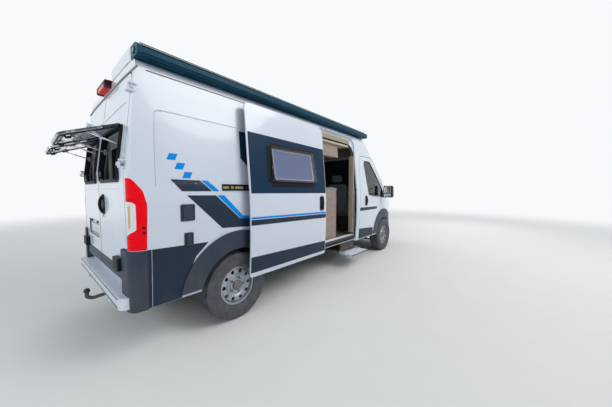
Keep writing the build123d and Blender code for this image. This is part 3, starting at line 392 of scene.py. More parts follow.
def join_rings(bm, rings, closed=False, caps=True):
    """Skin of quads over rings of equal length, each ring a closed loop."""
    steps = len(rings[0])
    last = len(rings) if closed else len(rings) - 1
    for index in range(last):
        low = rings[index]
        high = rings[(index + 1) % len(rings)]
        for step in range(steps):
            after = (step + 1) % steps
            bm.faces.new((low[step], low[after], high[after], high[step]))
    if caps and not closed:
        bm.faces.new(list(reversed(rings[0])))
        bm.faces.new(rings[-1])


def add_rings(bm, centre, axis, rows, steps=48):
    """Turned form: rows of (distance along the axis, radius) from end to end."""
    axis = Vector(axis).normalized()
    across = axis.orthogonal().normalized()
    over = axis.cross(across)
    rings = []
    for reach, radius in rows:
        ring = []
        for step in range(steps):
            turn = 2 * math.pi * step / steps
            offset = across * math.cos(turn) + over * math.sin(turn)
            ring.append(bm.verts.new(Vector(centre) + axis * reach + offset * max(radius, 0.0004)))
        rings.append(ring)
    join_rings(bm, rings)


def placed(axes, points, reach=0.0):
    """Points drawn in two directions from an origin, moved along a third direction."""
    origin, across, upward, outward = axes
    return [origin + across * p[0] + upward * p[1] + outward * reach for p in points]


def add_slab(bm, points, low, high, axes, bevel):
    """Prism of an outline drawn in two directions, between two distances along a third."""
    rings = []
    for reach, inset in ((low, 0.0), (high - bevel, 0.0), (high, bevel)):
        outline = grown(points, -inset) if inset else points
        rings.append([bm.verts.new(place) for place in placed(axes, outline, reach)])
    join_rings(bm, rings)


def pleated(name, lines, thickness, finish, body="van"):
    """Folded blind through rows of points, one row at each fold."""
    bm = bmesh.new()
    rows = [[bm.verts.new(point) for point in line] for line in lines]
    for upper, lower in zip(rows, rows[1:]):
        for step in range(len(upper) - 1):
            bm.faces.new((upper[step], upper[step + 1], lower[step + 1], lower[step]))
    bm.normal_update()
    bmesh.ops.solidify(bm, geom=bm.faces[:], thickness=thickness)
    finish_piece(name, bm, finish, body=body)


def new_group(name, inputs, outputs):
    """Empty shader node group with named sockets: (name, kind, default)."""
    group = bpy.data.node_groups.new(name, "ShaderNodeTree")
    for label, kind, default in inputs:
        socket = group.interface.new_socket(name=label, in_out="INPUT", socket_type=kind)
        if default is not None:
            socket.default_value = default
    for label, kind in outputs:
        group.interface.new_socket(name=label, in_out="OUTPUT", socket_type=kind)
    return group, group.nodes.new("NodeGroupInput"), group.nodes.new("NodeGroupOutput")


def node(tree, kind, links=(), **values):
    """New node with attributes or input values, and links into it."""
    made = tree.nodes.new(kind)
    for key, value in values.items():
        if hasattr(made, key):
            setattr(made, key, value)
        else:
            made.inputs[key.replace("_", " ")].default_value = value
    for socket, source in links:
        tree.links.new(source, made.inputs[socket])
    return made


def maths(tree, operation, *values, clamp=False):
    """Math node of values or sockets."""
    made = tree.nodes.new("ShaderNodeMath")
    made.operation = operation
    made.use_clamp = clamp
    for socket, value in zip(made.inputs, values):
        if isinstance(value, (int, float)):
            socket.default_value = value
        else:
            tree.links.new(value, socket)
    return made.outputs[0]


def mixed(tree, factor, a, b):
    """Colour between two colours or sockets."""
    made = tree.nodes.new("ShaderNodeMix")
    made.data_type = "RGBA"
    for socket, value in ((made.inputs[0], factor), (made.inputs[6], a), (made.inputs[7], b)):
        if isinstance(value, bpy.types.NodeSocket):
            tree.links.new(value, socket)
        else:
            socket.default_value = value if socket == made.inputs[0] else (*value[:3], 1)
    return made.outputs[2]


COLOR = "NodeSocketColor"
FLOAT = "NodeSocketFloat"


def grime_group():
    """Dust that thickens towards the ground, with soft cloudy patches and streaks."""
    inputs = (
        ("Clean", COLOR, (0.8, 0.8, 0.8, 1)),
        ("Dust", COLOR, (0.4, 0.35, 0.3, 1)),
        ("Amount", FLOAT, 0.5),
        ("Top", FLOAT, 1.2),
        ("Clean Roughness", FLOAT, 0.3),
    )
    group, source, target = new_group("road_grime", inputs, (("Color", COLOR), ("Roughness", FLOAT)))
    place = coordinates(group)
    split = node(group, "ShaderNodeSeparateXYZ", [("Vector", place)])
    low = maths(group, "DIVIDE", split.outputs["Z"], source.outputs["Top"])
    low = maths(group, "SUBTRACT", 1.0, low, clamp=True)
    low = maths(group, "POWER", low, 1.6)
    clouds = noise_at(group, 5.0, 6.0, place)
    specks = noise_at(group, 60.0, 4.0, place)
    stretch = node(group, "ShaderNodeMapping", [("Vector", place)], Scale=(16, 16, 1.4))
    patch = maths(group, "MULTIPLY", clouds, noise_at(group, 1.0, 3.0, stretch.outputs[0]))
    patch = maths(group, "MULTIPLY_ADD", patch, 1.5, 0.08)
    patch = maths(group, "MULTIPLY", patch, maths(group, "ADD", specks, 0.45))
    faint = maths(group, "MULTIPLY", patch, 0.035)
    amount = maths(group, "ADD", maths(group, "MULTIPLY", low, patch), faint)
    amount = maths(group, "MULTIPLY", amount, source.outputs["Amount"], clamp=True)
    colour = mixed(group, amount, source.outputs["Clean"], source.outputs["Dust"])
    links = [("Factor", amount), ("A", source.outputs["Clean Roughness"])]
    rough = node(group, "ShaderNodeMix", links, B=0.85)
    group.links.new(colour, target.inputs["Color"])
    group.links.new(rough.outputs[0], target.inputs["Roughness"])
    return group


def grain_group():
    """Fine moulded grain or paint texture as a height."""
    inputs = (("Scale", FLOAT, 300.0), ("Depth", FLOAT, 1.0))
    group, source, target = new_group("surface_grain", inputs, (("Height", FLOAT), ("Tone", FLOAT)))
    links = [("Vector", coordinates(group)), ("Scale", source.outputs["Scale"])]
    noise = node(group, "ShaderNodeTexNoise", links, Detail=3.0)
    height = maths(group, "MULTIPLY", noise.outputs["Fac"], source.outputs["Depth"])
    group.links.new(height, target.inputs["Height"])
    group.links.new(noise.outputs["Fac"], target.inputs["Tone"])
    return group


def weave_group():
    """Plain weave of yarns running along x, y and z, as a height and a tone."""
    inputs = (("Yarns", FLOAT, 500.0),)
    group, source, target = new_group("cloth_weave", inputs, (("Height", FLOAT), ("Tone", FLOAT)))
    place = coordinates(group)
    split = node(group, "ShaderNodeSeparateXYZ", [("Vector", place)])
    waves = []
    for axis in ("X", "Y", "Z"):
        turned = maths(group, "MULTIPLY", split.outputs[axis], source.outputs["Yarns"])
        waves.append(maths(group, "SINE", turned))
    product = maths(group, "MULTIPLY", waves[0], waves[1])
    product = maths(group, "ADD", product, maths(group, "MULTIPLY", waves[1], waves[2]))
    product = maths(group, "ADD", product, maths(group, "MULTIPLY", waves[0], waves[2]))
    tone = maths(group, "MULTIPLY_ADD", product, 0.12, noise_at(group, 35.0, 5.0, place))
    group.links.new(product, target.inputs["Height"])
    group.links.new(tone, target.inputs["Tone"])
    return group


groups = {}
finishes = {}


def fill_inputs(target, values):
    """Set a node's inputs by name; three numbers are a colour."""
    for key, value in values.items():
        socket = target.inputs[key.replace("_", " ")]
        socket.default_value = (*value, 1) if isinstance(value, tuple) and len(value) == 3 else value


def shader(name, **values):
    """Node tree of a new finish and its Principled shader, whose uniform sockets take the values."""
    material = bpy.data.materials.new(name)
    material.use_nodes = True
    surface = material.node_tree.nodes["Principled BSDF"]
    fill_inputs(surface, values)
    finishes[name] = material
    return material.node_tree, surface


def place_group(tree, kind, **values):
    """One of the shared node groups, placed with its own values."""
    made = tree.nodes.new("ShaderNodeGroup")
    made.node_tree = groups[kind]
    fill_inputs(made, values)
    return made


def noise_at(tree, scale, detail=2.0, place=None):
    """Factor of a noise, in the piece's own coordinates where a place is given."""
    links = [("Vector", place)] if place else ()
    return node(tree, "ShaderNodeTexNoise", links, Scale=scale, Detail=detail).outputs["Fac"]


def coordinates(tree):
    """The piece's own coordinates."""
    return node(tree, "ShaderNodeTexCoord").outputs["Object"]


def seen(tree):
    """One where the camera sees a place straight, mirrored or through glass, otherwise zero."""
    path = tree.nodes.new("ShaderNodeLightPath")
    either = maths(tree, "MAXIMUM", path.outputs["Is Camera Ray"], path.outputs["Is Glossy Ray"])
    return maths(tree, "MAXIMUM", either, path.outputs["Is Transmission Ray"])


def blended(tree, factor, plain, pale, output):
    """Blend two shaders into an output node."""
    blend = node(tree, "ShaderNodeMixShader", [(0, factor), (1, plain.outputs[0]), (2, pale.outputs[0])])
    tree.links.new(blend.outputs[0], tree.nodes[output].inputs["Surface"])


def bump(tree, surface, height, strength, distance):
    """Bump from a height into the shader's normal."""
    made = node(tree, "ShaderNodeBump", [("Height", height)], Strength=strength, Distance=distance)
    tree.links.new(made.outputs["Normal"], surface.inputs["Normal"])


def painted(name, colour, rough, dust, top, coat, grain, specular, metallic):
    """Sprayed or moulded finish under road dust."""
    paint = bpy.context.scene.camper_paint
    tree, surface = shader(
        name, Coat_Weight=coat, Coat_Roughness=0.08, Specular_IOR_Level=specular, Metallic=metallic,
    )
    grime = place_group(
        tree, "grime", Clean=tuple(colour), Dust=tuple(paint.dust), Amount=dust * 2 * paint.dust_amount,
        Top=top, Clean_Roughness=rough,
    )
    tree.links.new(grime.outputs["Color"], surface.inputs["Base Color"])
    tree.links.new(grime.outputs["Roughness"], surface.inputs["Roughness"])
    texture = place_group(tree, "grain", Scale=grain, Depth=1.0)
    bump(tree, surface, texture.outputs["Height"], 0.12, 0.0006)


def make_finishes():
    """Every finish that several pieces share."""
    paint = bpy.context.scene.camper_paint
    groups.update(grime=grime_group(), grain=grain_group(), weave=weave_group())
    rows = (
        # name, colour, roughness, dust, height of the dust, coat, grain, specular level, metallic
        ("body_paint", paint.body, 0.28, 0.55, 1.15, 0.6, 900.0, 0.5, 0.0),
        ("dark_panel", paint.dark, 0.38, 0.14, 1.0, 0.0, 900.0, 0.18, 0.0),
        ("dark_trim", paint.dark, 0.5, 0.42, 1.1, 0.0, 1500.0, 0.4, 0.0),
        ("upper_panel", (0.007, 0.030, 0.072), 0.38, 0.03, 1.0, 0.0, 900.0, 0.12, 0.0),
        ("accent_stripe", paint.stripe, 0.40, 0.03, 1.2, 0.0, 900.0, 0.1, 0.0),
        ("black_moulding", (0.007, 0.009, 0.013), 0.50, 0.03, 1.0, 0.0, 400.0, 0.2, 0.0),
        ("rubber_seal", (0.006, 0.007, 0.009), 0.62, 0.05, 1.0, 0.0, 400.0, 0.2, 0.0),
        ("beige_seal", (0.30, 0.26, 0.22), 0.6, 0.3, 1.2, 0.0, 700.0, 0.5, 0.0),
        ("awning_case", (0.004, 0.062, 0.110), 0.34, 0.01, 2.0, 0.0, 900.0, 0.1, 0.0),
        ("cap_grey", (0.30, 0.31, 0.32), 0.45, 0.3, 1.4, 0.0, 900.0, 0.5, 0.0),
        ("black_gloss", (0.010, 0.010, 0.012), 0.12, 0.12, 1.2, 0.6, 900.0, 0.5, 0.0),
        ("trim_beige", (0.50, 0.43, 0.33), 0.6, 0.12, 1.0, 0.0, 500.0, 0.5, 0.0),
        ("lining_light", (0.36, 0.35, 0.33), 0.75, 0.10, 1.0, 0.0, 420.0, 0.5, 0.0),
        ("lining_wall", (0.075, 0.072, 0.070), 0.75, 0.10, 1.0, 0.0, 420.0, 0.5, 0.0),
        ("lining_dark", (0.030, 0.031, 0.034), 0.8, 0.10, 1.0, 0.0, 420.0, 0.5, 0.0),
        ("headliner", (0.34, 0.235, 0.145), 0.85, 0.05, 1.0, 0.0, 650.0, 0.5, 0.0),
        ("worktop", (0.20, 0.19, 0.18), 0.35, 0.08, 1.0, 0.1, 900.0, 0.5, 0.0),
        ("floor_cover", (0.11, 0.085, 0.065), 0.5, 0.5, 1.0, 0.1, 60.0, 0.5, 0.0),
        ("blind_cloth", (0.30, 0.41, 0.72), 0.75, 0.0, 1.0, 0.0, 1500.0, 0.5, 0.0),
        ("blank_plate", (0.62, 0.64, 0.66), 0.4, 0.35, 1.2, 0.2, 900.0, 0.5, 0.0),
        ("white_lens", (0.72, 0.74, 0.76), 0.10, 0.10, 1.0, 0.9, 900.0, 0.5, 0.0),
        ("amber_lens", (0.66, 0.36, 0.13), 0.12, 0.10, 1.0, 0.9, 900.0, 0.5, 0.0),
        ("rail_grease", (0.36, 0.27, 0.09), 0.5, 0.2, 1.0, 0.0, 60.0, 0.5, 0.0),
        ("soft_grip", (0.018, 0.018, 0.020), 0.55, 0.05, 1.0, 0.0, 1400.0, 0.5, 0.0),
        ("white_plastic", (0.68, 0.70, 0.73), 0.42, 0.5, 1.4, 0.1, 1200.0, 0.5, 0.0),
        ("light_grey_plastic", (0.42, 0.43, 0.44), 0.45, 0.4, 1.4, 0.0, 900.0, 0.5, 0.0),
        ("underbody", (0.022, 0.021, 0.020), 0.7, 1.0, 1.2, 0.0, 250.0, 0.5, 0.0),
        ("cast_iron", (0.10, 0.085, 0.075), 0.72, 1.0, 1.2, 0.0, 350.0, 0.5, 0.55),
        ("galvanised", (0.42, 0.43, 0.44), 0.42, 0.8, 1.2, 0.0, 120.0, 0.5, 0.9),
        ("wood_edge", (0.42, 0.33, 0.27), 0.5, 0.05, 1.0, 0.1, 300.0, 0.5, 0.0),
        ("silver_cloth", (0.26, 0.28, 0.31), 0.6, 0.0, 1.0, 0.0, 1400.0, 0.5, 0.0),
        ("dark_blind", (0.070, 0.062, 0.055), 0.85, 0.0, 1.0, 0.0, 1400.0, 0.5, 0.0),
        ("step_metal", (0.70, 0.75, 0.83), 0.35, 0.35, 0.9, 0.0, 90.0, 0.5, 0.25),
        ("mirror_face", (0.80, 0.82, 0.84), 0.04, 0.05, 1.0, 0.0, 900.0, 0.5, 1.0),
        ("brake_lens", (0.80, 0.06, 0.02), 0.15, 0.10, 2.0, 0.5, 900.0, 0.5, 0.0),
        ("smoked_dome", (0.30, 0.31, 0.33), 0.12, 0.35, 3.0, 0.6, 900.0, 0.5, 0.0),
        ("bright_metal", (0.55, 0.56, 0.57), 0.25, 0.15, 1.2, 0.0, 90.0, 0.5, 0.95),
        ("wheel_steel", (0.16, 0.16, 0.165), 0.4, 0.7, 0.9, 0.1, 900.0, 0.5, 0.7),
        ("wheel_silver", (0.42, 0.46, 0.53), 0.36, 0.6, 0.9, 0.2, 900.0, 0.5, 0.6),
    )
    for row in rows:
        painted(*row)


class CAMPER_OT_stage(bpy.types.Operator):
    """Floor, soft lights, world and the camera of the photograph"""

    bl_idname = "camper.stage"
    bl_label = "Stage"

    def execute(self, context):
        lights = context.scene.camper_lights
        mesh = bpy.data.meshes.new("floor")
        reach = 60.0
        corners = [(*corner, 0) for corner in rectangle(-reach, reach, -reach, reach)]
        mesh.from_pydata(corners, [], [(0, 1, 2, 3)])
        floor = link("floor", mesh)
        tree, surface = shader("pale_floor", Roughness=0.85, Specular_IOR_Level=0.2)
        place = coordinates(tree)
        tone = mixed(tree, noise_at(tree, 3.0, place=place), (0.70, 0.70, 0.69), (0.74, 0.74, 0.73))
        tree.links.new(tone, surface.inputs["Base Color"])
        split = node(tree, "ShaderNodeSeparateXYZ", [("Vector", place)])
        squares = [maths(tree, "MULTIPLY", split.outputs[axis], split.outputs[axis]) for axis in "XY"]
        away = maths(tree, "SQRT", maths(tree, "ADD", *squares))
        far = node(tree, "ShaderNodeMapRange", [("Value", away)], interpolation_type="SMOOTHSTEP")
        far.inputs["From Min"].default_value = 5.0
        far.inputs["From Max"].default_value = 17.0
        white = {"Color": (0.93, 0.95, 0.97, 1), "Strength": 1.0}
        pale = node(tree, "ShaderNodeEmission", **white)
        blended(tree, maths(tree, "MULTIPLY", far.outputs[0], seen(tree)), surface, pale, "Material Output")
        mesh.materials.append(finishes["pale_floor"])

        world = bpy.data.worlds.new("studio")
        context.scene.world = world
        world.use_nodes = True
        tree = world.node_tree
        even = tree.nodes["Background"]
        even.inputs["Color"].default_value = (0.84, 0.92, 1.0, 1)
        even.inputs["Strength"].default_value = lights.world
        blended(tree, seen(tree), even, node(tree, "ShaderNodeBackground", **white), "World Output")

        rows = (
            # name, place, aimed at, size, power, colour
            ("key_light", (2.0, -7.0, 7.5), (0, 0, 1), 6.0, lights.key, (1.0, 0.97, 0.92)),
            ("rear_light", (-8.5, -1.0, 4.5), (-2, 0, 1.2), 4.0, lights.fill, (0.95, 0.98, 1.0)),
            ("left_light", (1.0, 8.0, 6.0), (0, 0, 1), 5.0, lights.fill, (0.95, 0.98, 1.0)),
            ("front_light", (9.0, -2.0, 5.0), (2, 0, 1), 4.0, lights.fill, (1.0, 0.98, 0.95)),
        )
        for name, place, aim, size, power, colour in rows:
            data = bpy.data.lights.new(name, "AREA")
            data.shape = "DISK"
            data.size = size
            data.energy = power
            data.color = colour
            lamp = bpy.data.objects.new(name, data)
            lamp.visible_glossy = name == "key_light"
            context.scene.collection.objects.link(lamp)
            lamp.location = place
            lamp.rotation_mode = "QUATERNION"
            lamp.rotation_quaternion = (Vector(aim) - Vector(place)).to_track_quat("-Z", "Y")

        # the camera solved from the photograph, its focal length and width in pixels
        focal = 238.19
        width = 612
        data = bpy.data.cameras.new("camera")
        data.sensor_width = 36.0
        data.lens = data.sensor_width * focal / width
        data.clip_start = 0.02
        data.clip_end = 200.0
        camera = bpy.data.objects.new("camera", data)
        context.scene.collection.objects.link(camera)
        across = Vector((0.643613, -0.765348, 0.001997))
        upward = Vector((0.041478, 0.037485, 0.998436))
        back = across.cross(upward)
        turn = Matrix((across, upward, back)).transposed()
        camera.matrix_world = Matrix.Translation(at(-1.4927, -3.2167, 1.4167)) @ turn.to_4x4()
        context.scene.camera = camera
        context.scene.view_settings.view_transform = "Standard"
        return {"FINISHED"}


class CAMPER_OT_finishes(bpy.types.Operator):
    """Procedural finishes for every CAD piece that stays"""

    bl_idname = "camper.finishes"
    bl_label = "Finishes"

    def execute(self, context):
        make_finishes()
        glasses = (
            # name, light let through, refraction, colour, scale of the smears, their roughness
            ("window_glass", 1.0, 1.45, (0.30, 0.34, 0.36), 2.0, 0.06),
            ("tinted_pane", 0.95, 1.3, (0.46, 0.50, 0.54), 3.0, 0.12),
            ("clear_acrylic", 0.96, 1.25, (0.80, 0.81, 0.88), 3.0, 0.10),
            ("lamp_cover", 0.85, 1.45, (0.8, 0.84, 0.86), 4.0, 0.1),
        )
        for name, clear, index, colour, scale, rough in glasses:
            tree, surface = shader(name, Transmission_Weight=clear, IOR=index, Base_Color=colour)
            smears = maths(tree, "MULTIPLY", noise_at(tree, scale), rough)
            tree.links.new(smears, surface.inputs["Roughness"])

        tree, surface = shader("red_lens", Roughness=0.3, Specular_IOR_Level=0.1, Coat_Weight=0.0)
        ribs = node(tree, "ShaderNodeTexWave", [("Vector", coordinates(tree))], Scale=30.0)
        ribs.bands_direction = "Z"
        tone = mixed(tree, ribs.outputs["Fac"], (0.90, 0.001, 0.008), (1.0, 0.003, 0.014))
        tree.links.new(tone, surface.inputs["Base Color"])
        bump(tree, surface, ribs.outputs["Fac"], 0.2, 0.002)

        tree, surface = shader("cabinet_wood", Coat_Weight=0.2)
        stretch = node(tree, "ShaderNodeMapping", [("Vector", coordinates(tree))], Scale=(3, 3, 26))
        rings = noise_at(tree, 1.6, 8.0, stretch.outputs[0])
        rings.node.inputs["Distortion"].default_value = 1.2
        tone = mixed(tree, rings, (0.17, 0.112, 0.088), (0.40, 0.305, 0.260))
        tree.links.new(tone, surface.inputs["Base Color"])
        tree.links.new(maths(tree, "MULTIPLY_ADD", rings, 0.3, 0.3), surface.inputs["Roughness"])
        bump(tree, surface, rings, 0.15, 0.001)

        cloths = (
            # name, sheen, yarns, dark and light tone
            ("seat_cloth", 0.3, 1400.0, (0.085, 0.095, 0.115), (0.20, 0.22, 0.26)),
            ("bed_cloth", 0.2, 1100.0, (0.34, 0.35, 0.38), (0.55, 0.56, 0.60)),
        )
        for name, sheen, yarns, dark, light in cloths:
            tree, surface = shader(name, Roughness=0.9, Sheen_Weight=sheen)
            weave = place_group(tree, "weave", Yarns=yarns)
            tree.links.new(mixed(tree, weave.outputs["Tone"], dark, light), surface.inputs["Base Color"])
            bump(tree, surface, weave.outputs["Height"], 0.5, 0.0008)

        tree, surface = shader("tyre_rubber", Specular_IOR_Level=0.3)
        noise = noise_at(tree, 14.0, 7.0, coordinates(tree))
        worn = maths(tree, "MULTIPLY", noise, 1.1)
        tone = mixed(tree, worn, (0.018, 0.020, 0.026), (0.145, 0.150, 0.165))
        tree.links.new(tone, surface.inputs["Base Color"])
        tree.links.new(maths(tree, "ADD", noise, 0.35), surface.inputs["Roughness"])
        grain = place_group(tree, "grain", Scale=500.0, Depth=1.0)
        bump(tree, surface, grain.outputs["Height"], 0.2, 0.0008)

        rows = (
            ("body_paint", "side_wall_right side_wall_left roof_shell rear_frame cab_frame cab_roof "
                           "front_wing_right front_wing_left bonnet sliding_door cab_door_right "
                           "cab_door_left rear_door_right rear_door_left roof_units"),
            ("dark_trim", "lower_trim front_bumper"),
            ("dark_panel", "service_flaps"),
            ("awning_case", "awning"),
            ("underbody", "floor_pan underfloor_units rear_axle front_subframe step_guide tow_bar"),
            ("black_moulding", "door_rails door_mirror_right door_mirror_left"),
            ("cast_iron", "engine_block knuckle_right knuckle_left"),
            ("window_glass", "windows cab_glass_right cab_glass_left"),
            ("tinted_pane", "rear_window_right rear_window_left"),
            ("clear_acrylic", "sliding_window"),
            ("lamp_cover", "headlamps"),
            ("red_lens", "rear_lamps brake_light"),
            ("step_metal", "rear_step entrance_step"),
            ("soft_grip", "dashboard"),
            ("cabinet_wood", "kitchen_unit overhead_lockers washroom bed_base dinette"),
            ("seat_cloth", "dinette_cushions cab_seats"),
            ("bed_cloth", "mattress"),
            ("wheel_silver", "rim_front_right rim_front_left rim_rear_right rim_rear_left"),
            ("tyre_rubber", "tyre_front_right tyre_front_left tyre_rear_right tyre_rear_left"),
        )
        for finish, names in rows:
            for name in names.split():
                mesh = nodes[name].data
                mesh.materials.clear()
                mesh.materials.append(finishes[finish])
        line_inside()
        return {"FINISHED"}


def second_finish(name, finish, test):
    """Give the faces of a CAD piece that pass a test of their normal and middle a second finish."""
    mesh = nodes[name].data
    mesh.materials.append(finishes[finish])
    for face in mesh.polygons:
        if test(face.normal, face.center):
            face.material_index = 1


def line_inside():
    """Give the faces that look into the cabin their own lining."""
    inner = 0.985
    rows = (
        # nodes, finish, test of the face's normal and middle
        ("side_wall_right side_wall_left", "lining_wall",
         lambda n, c: n.y * c.y < -0.3 * abs(c.y) and abs(c.y) < inner),
        ("roof_shell cab_roof", "headliner", lambda n, c: n.z < -0.2 and c.z > 1.9),
        ("rear_frame cab_frame", "lining_light",
         lambda n, c: n.y * c.y < -0.5 * abs(c.y) and abs(c.y) < inner),
        ("sliding_door", "lining_light", lambda n, c: n.y > 0.5),
        ("cab_door_right cab_door_left", "lining_dark", lambda n, c: n.y * c.y < -0.5 * abs(c.y)),
        ("rear_door_right rear_door_left", "lining_light", lambda n, c: n.x > 0.6),
        ("floor_pan", "floor_cover", lambda n, c: n.z > 0.7 and c.z > 0.5),
        ("kitchen_unit", "worktop", lambda n, c: c.z > 1.424),
    )
    for names, finish, test in rows:
        for name in names.split():
            second_finish(name, finish, test)


side_window = rounded(rectangle(0.365, 1.255, 1.470, 1.965), 0.06, 6)


class CAMPER_OT_graphics(bpy.types.Operator):
    """Dark panels, slanted bars and the thin stripe along the body side"""

    bl_idname = "camper.graphics"
    bl_label = "Side graphics"

    def execute(self, context):
        wall, door, cab = "side_wall_right", "sliding_door", "cab_door_right"
        rows = (
            # name, finish, node it lies on, outline
            ("upper_bar", "dark_panel", wall,
             ((-0.670, 1.508), (-0.413, 1.506), (-0.300, 1.405), (-0.581, 1.405))),
            ("upper_bar_end", "accent_stripe", wall,
             ((-0.400, 1.506), (-0.335, 1.506), (-0.222, 1.405), (-0.287, 1.405))),
            ("lower_bar", "dark_panel", wall,
             ((-0.541, 1.368), (-0.262, 1.364), (0.010, 1.112), (0.160, 1.100), (0.160, 1.010),
              (-0.200, 1.031))),
            ("lower_bar_edge", "accent_stripe", wall,
             ((-0.249, 1.364), (-0.172, 1.364), (0.050, 1.139), (0.160, 1.130), (0.160, 1.104),
              (0.022, 1.106))),
            ("wall_panel", "upper_panel", wall,
             ((0.058, 2.060), (1.315, 2.050), (1.315, 1.380), (0.300, 1.385), (0.155, 1.664),
              (0.058, 1.766))),
            ("wall_lower", "dark_panel", wall,
             ((-0.832, 0.930), (-0.350, 0.914), (-0.470, 0.800), (-0.565, 0.600), (-0.600, 0.470),
              (-0.600, 0.442), (-0.832, 0.442))),
            ("corner_lower", "dark_panel", "rear_frame",
             ((-0.864, 0.931), (-0.836, 0.930), (-0.836, 0.442), (-0.864, 0.442))),
            ("wall_lower_front", "dark_panel", wall,
             ((0.590, 0.680), (1.315, 0.668), (1.315, 0.490), (0.628, 0.490))),
            ("door_panel", "upper_panel", door,
             ((0.100, 2.055), (1.482, 2.035), (1.482, 1.372), (0.100, 1.380))),
            ("door_stripe", "accent_stripe", door,
             ((0.093, 1.120), (1.482, 1.091), (1.482, 1.065), (0.093, 1.098))),
            ("door_bar", "dark_panel", door,
             ((0.093, 1.090), (1.482, 1.057), (1.482, 1.000), (0.093, 1.028))),
            ("door_lower", "dark_panel", door,
             ((0.093, 0.675), (1.482, 0.640), (1.482, 0.490), (0.093, 0.495))),
            ("cab_bar", "dark_panel", cab,
             ((2.762, 1.077), (3.655, 1.060), (3.600, 1.006), (2.762, 1.010))),
            ("cab_lower", "dark_panel", cab,
             ((2.762, 0.660), (3.380, 0.620), (3.440, 0.450), (2.762, 0.455))),
            ("left_wall_lower_front", "dark_panel", "side_wall_left",
             ((0.590, 0.680), (2.740, 0.660), (2.740, 0.490), (0.628, 0.490))),
        )
        repeated = ("wall_lower", "corner_lower", "cab_bar", "cab_lower")
        rows += tuple((f"left_{name}", finish, names.replace("right", "left"), points)
                      for name, finish, names, points in rows if name in repeated)
        for name, finish, names, points in rows:
            bm = new_piece(name, finish, 30, names if names.startswith("cab") else "van")
            holes = (grown(side_window, 0.004),) if name == "door_panel" else ()
            side = LEFT if name.startswith("left") else RIGHT
            hit = on_skin(RIGHT, DOOR_OUT) if names == door else on_side(names, side)
            # the upper bars cross a pressing of the wall, so they are raised further
            lift = 4 * FILM if name.startswith("upper_bar") else FILM
            laid(bm, points, hit, lift, FILM, 0.022, holes)

        bm = new_piece("accent_bars", "accent_stripe", 30)
        for index in range(3):
            x = -0.665 + 0.060 * index
            z = 1.735 - 0.078 * index
            points = ((x, z), (x + 0.070, z), (x + 0.045, z - 0.058), (x - 0.025, z - 0.058))
            laid(bm, points, on_side(wall, RIGHT), 0.0004, FILM, 0.022)
        # a thin grey line along the pressing of the wall: painted shade that stands in for the shading of
        # its edge
        crease = new_piece("wall_crease_shade_line", "cap_grey", 50)
        fold = ((-0.700, 2.079), (-0.742, 2.078), (-0.760, 2.066), (-0.767, 2.045), (-0.780, 1.744),
                (-0.7886, 1.400))
        pairs = zip(fold, fold[1:])
        path = [Vector(here).lerp(Vector(after), part / 8) for here, after in pairs for part in range(8)]
        add_tube(crease, traced(path, on_side(wall, RIGHT)), 0.0016, 6)
        finish_pieces()
        return {"FINISHED"}


WHEELS = ("front_right", "front_left", "rear_right", "rear_left")
# half of a tyre's section as shares of the half width: side wall with its radius, then tread
TYRE_WALL = (
    (0.79, 0.208), (0.85, 0.211), (0.89, 0.219), (0.93, 0.232), (0.97, 0.252), (0.995, 0.272),
    (1.0, 0.286), (0.988, 0.288), (0.988, 0.298), (1.0, 0.300), (0.985, 0.316), (0.955, 0.330),
    (0.945, 0.331), (0.93, 0.340), (0.90, 0.349),
)
TYRE_WALL_TOP = 0.366
TREAD = (0.86, 0.80, 0.70, 0.62, 0.585, 0.50, 0.465, 0.36, 0.25, 0.215, 0.13, 0.095, 0.04)
GROOVES = (0.5425, 0.1725)
GROOVE_HALF = 0.0426


class CAMPER_OT_tyres(bpy.types.Operator):
    """Tyres with blocks, grooves and rounded side walls"""

    bl_idname = "camper.tyres"
    bl_label = "Tyres"

    def execute(self, context):
        wheels = context.scene.camper_wheels
        count = wheels.tread_blocks * 4
        for name in WHEELS:
            tyre = f"tyre_{name}"
            low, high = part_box(tyre)
            middle = (low + high) / 2
            radius = (high.z - low.z) / 2 - 0.0003
            half = (high.y - low.y) / 2 - 0.0003
            half_rows = [(share, size * radius / TYRE_WALL_TOP, False) for share, size in TYRE_WALL]
            half_rows += [(share, radius - 0.005 * share ** 2.4, True) for share in TREAD]
            rows = half_rows + [(-share, size, tread) for share, size, tread in reversed(half_rows)]
            bm = bmesh.new()
            rings = []
            for step in range(count):
                turn = 2 * math.pi * step / count
                ring = []
                for share, size, tread in rows:
                    outer = abs(share) > 0.6
                    cut = 0.0
                    if tread:
                        if min(abs(abs(share) - groove) for groove in GROOVES) < GROOVE_HALF:
                            cut = 1.0
                        shift = 0 if outer else (2 if abs(share) > 0.2 else 1)
                        if (step + shift + (2 if share < 0 else 0)) % 4 == 0:
                            cut = max(cut, 0.9 if outer else 0.5)
                    elif abs(share) > 0.88 and size > 0.335 * radius / TYRE_WALL_TOP:
                        cut = 0.6 if step % 4 == (0 if share > 0 else 2) else 0.0
                    size -= cut * wheels.groove_depth
                    offset = Vector((math.sin(turn) * size, share * half, math.cos(turn) * size))
                    ring.append(bm.verts.new(middle + offset))
                rings.append(ring)
            join_rings(bm, rings, closed=True)
            piece = finish_piece(f"tread_{name}", bm, "tyre_rubber", 34, f"wheel_{name}")
            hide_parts(tyre)
        return {"FINISHED"}


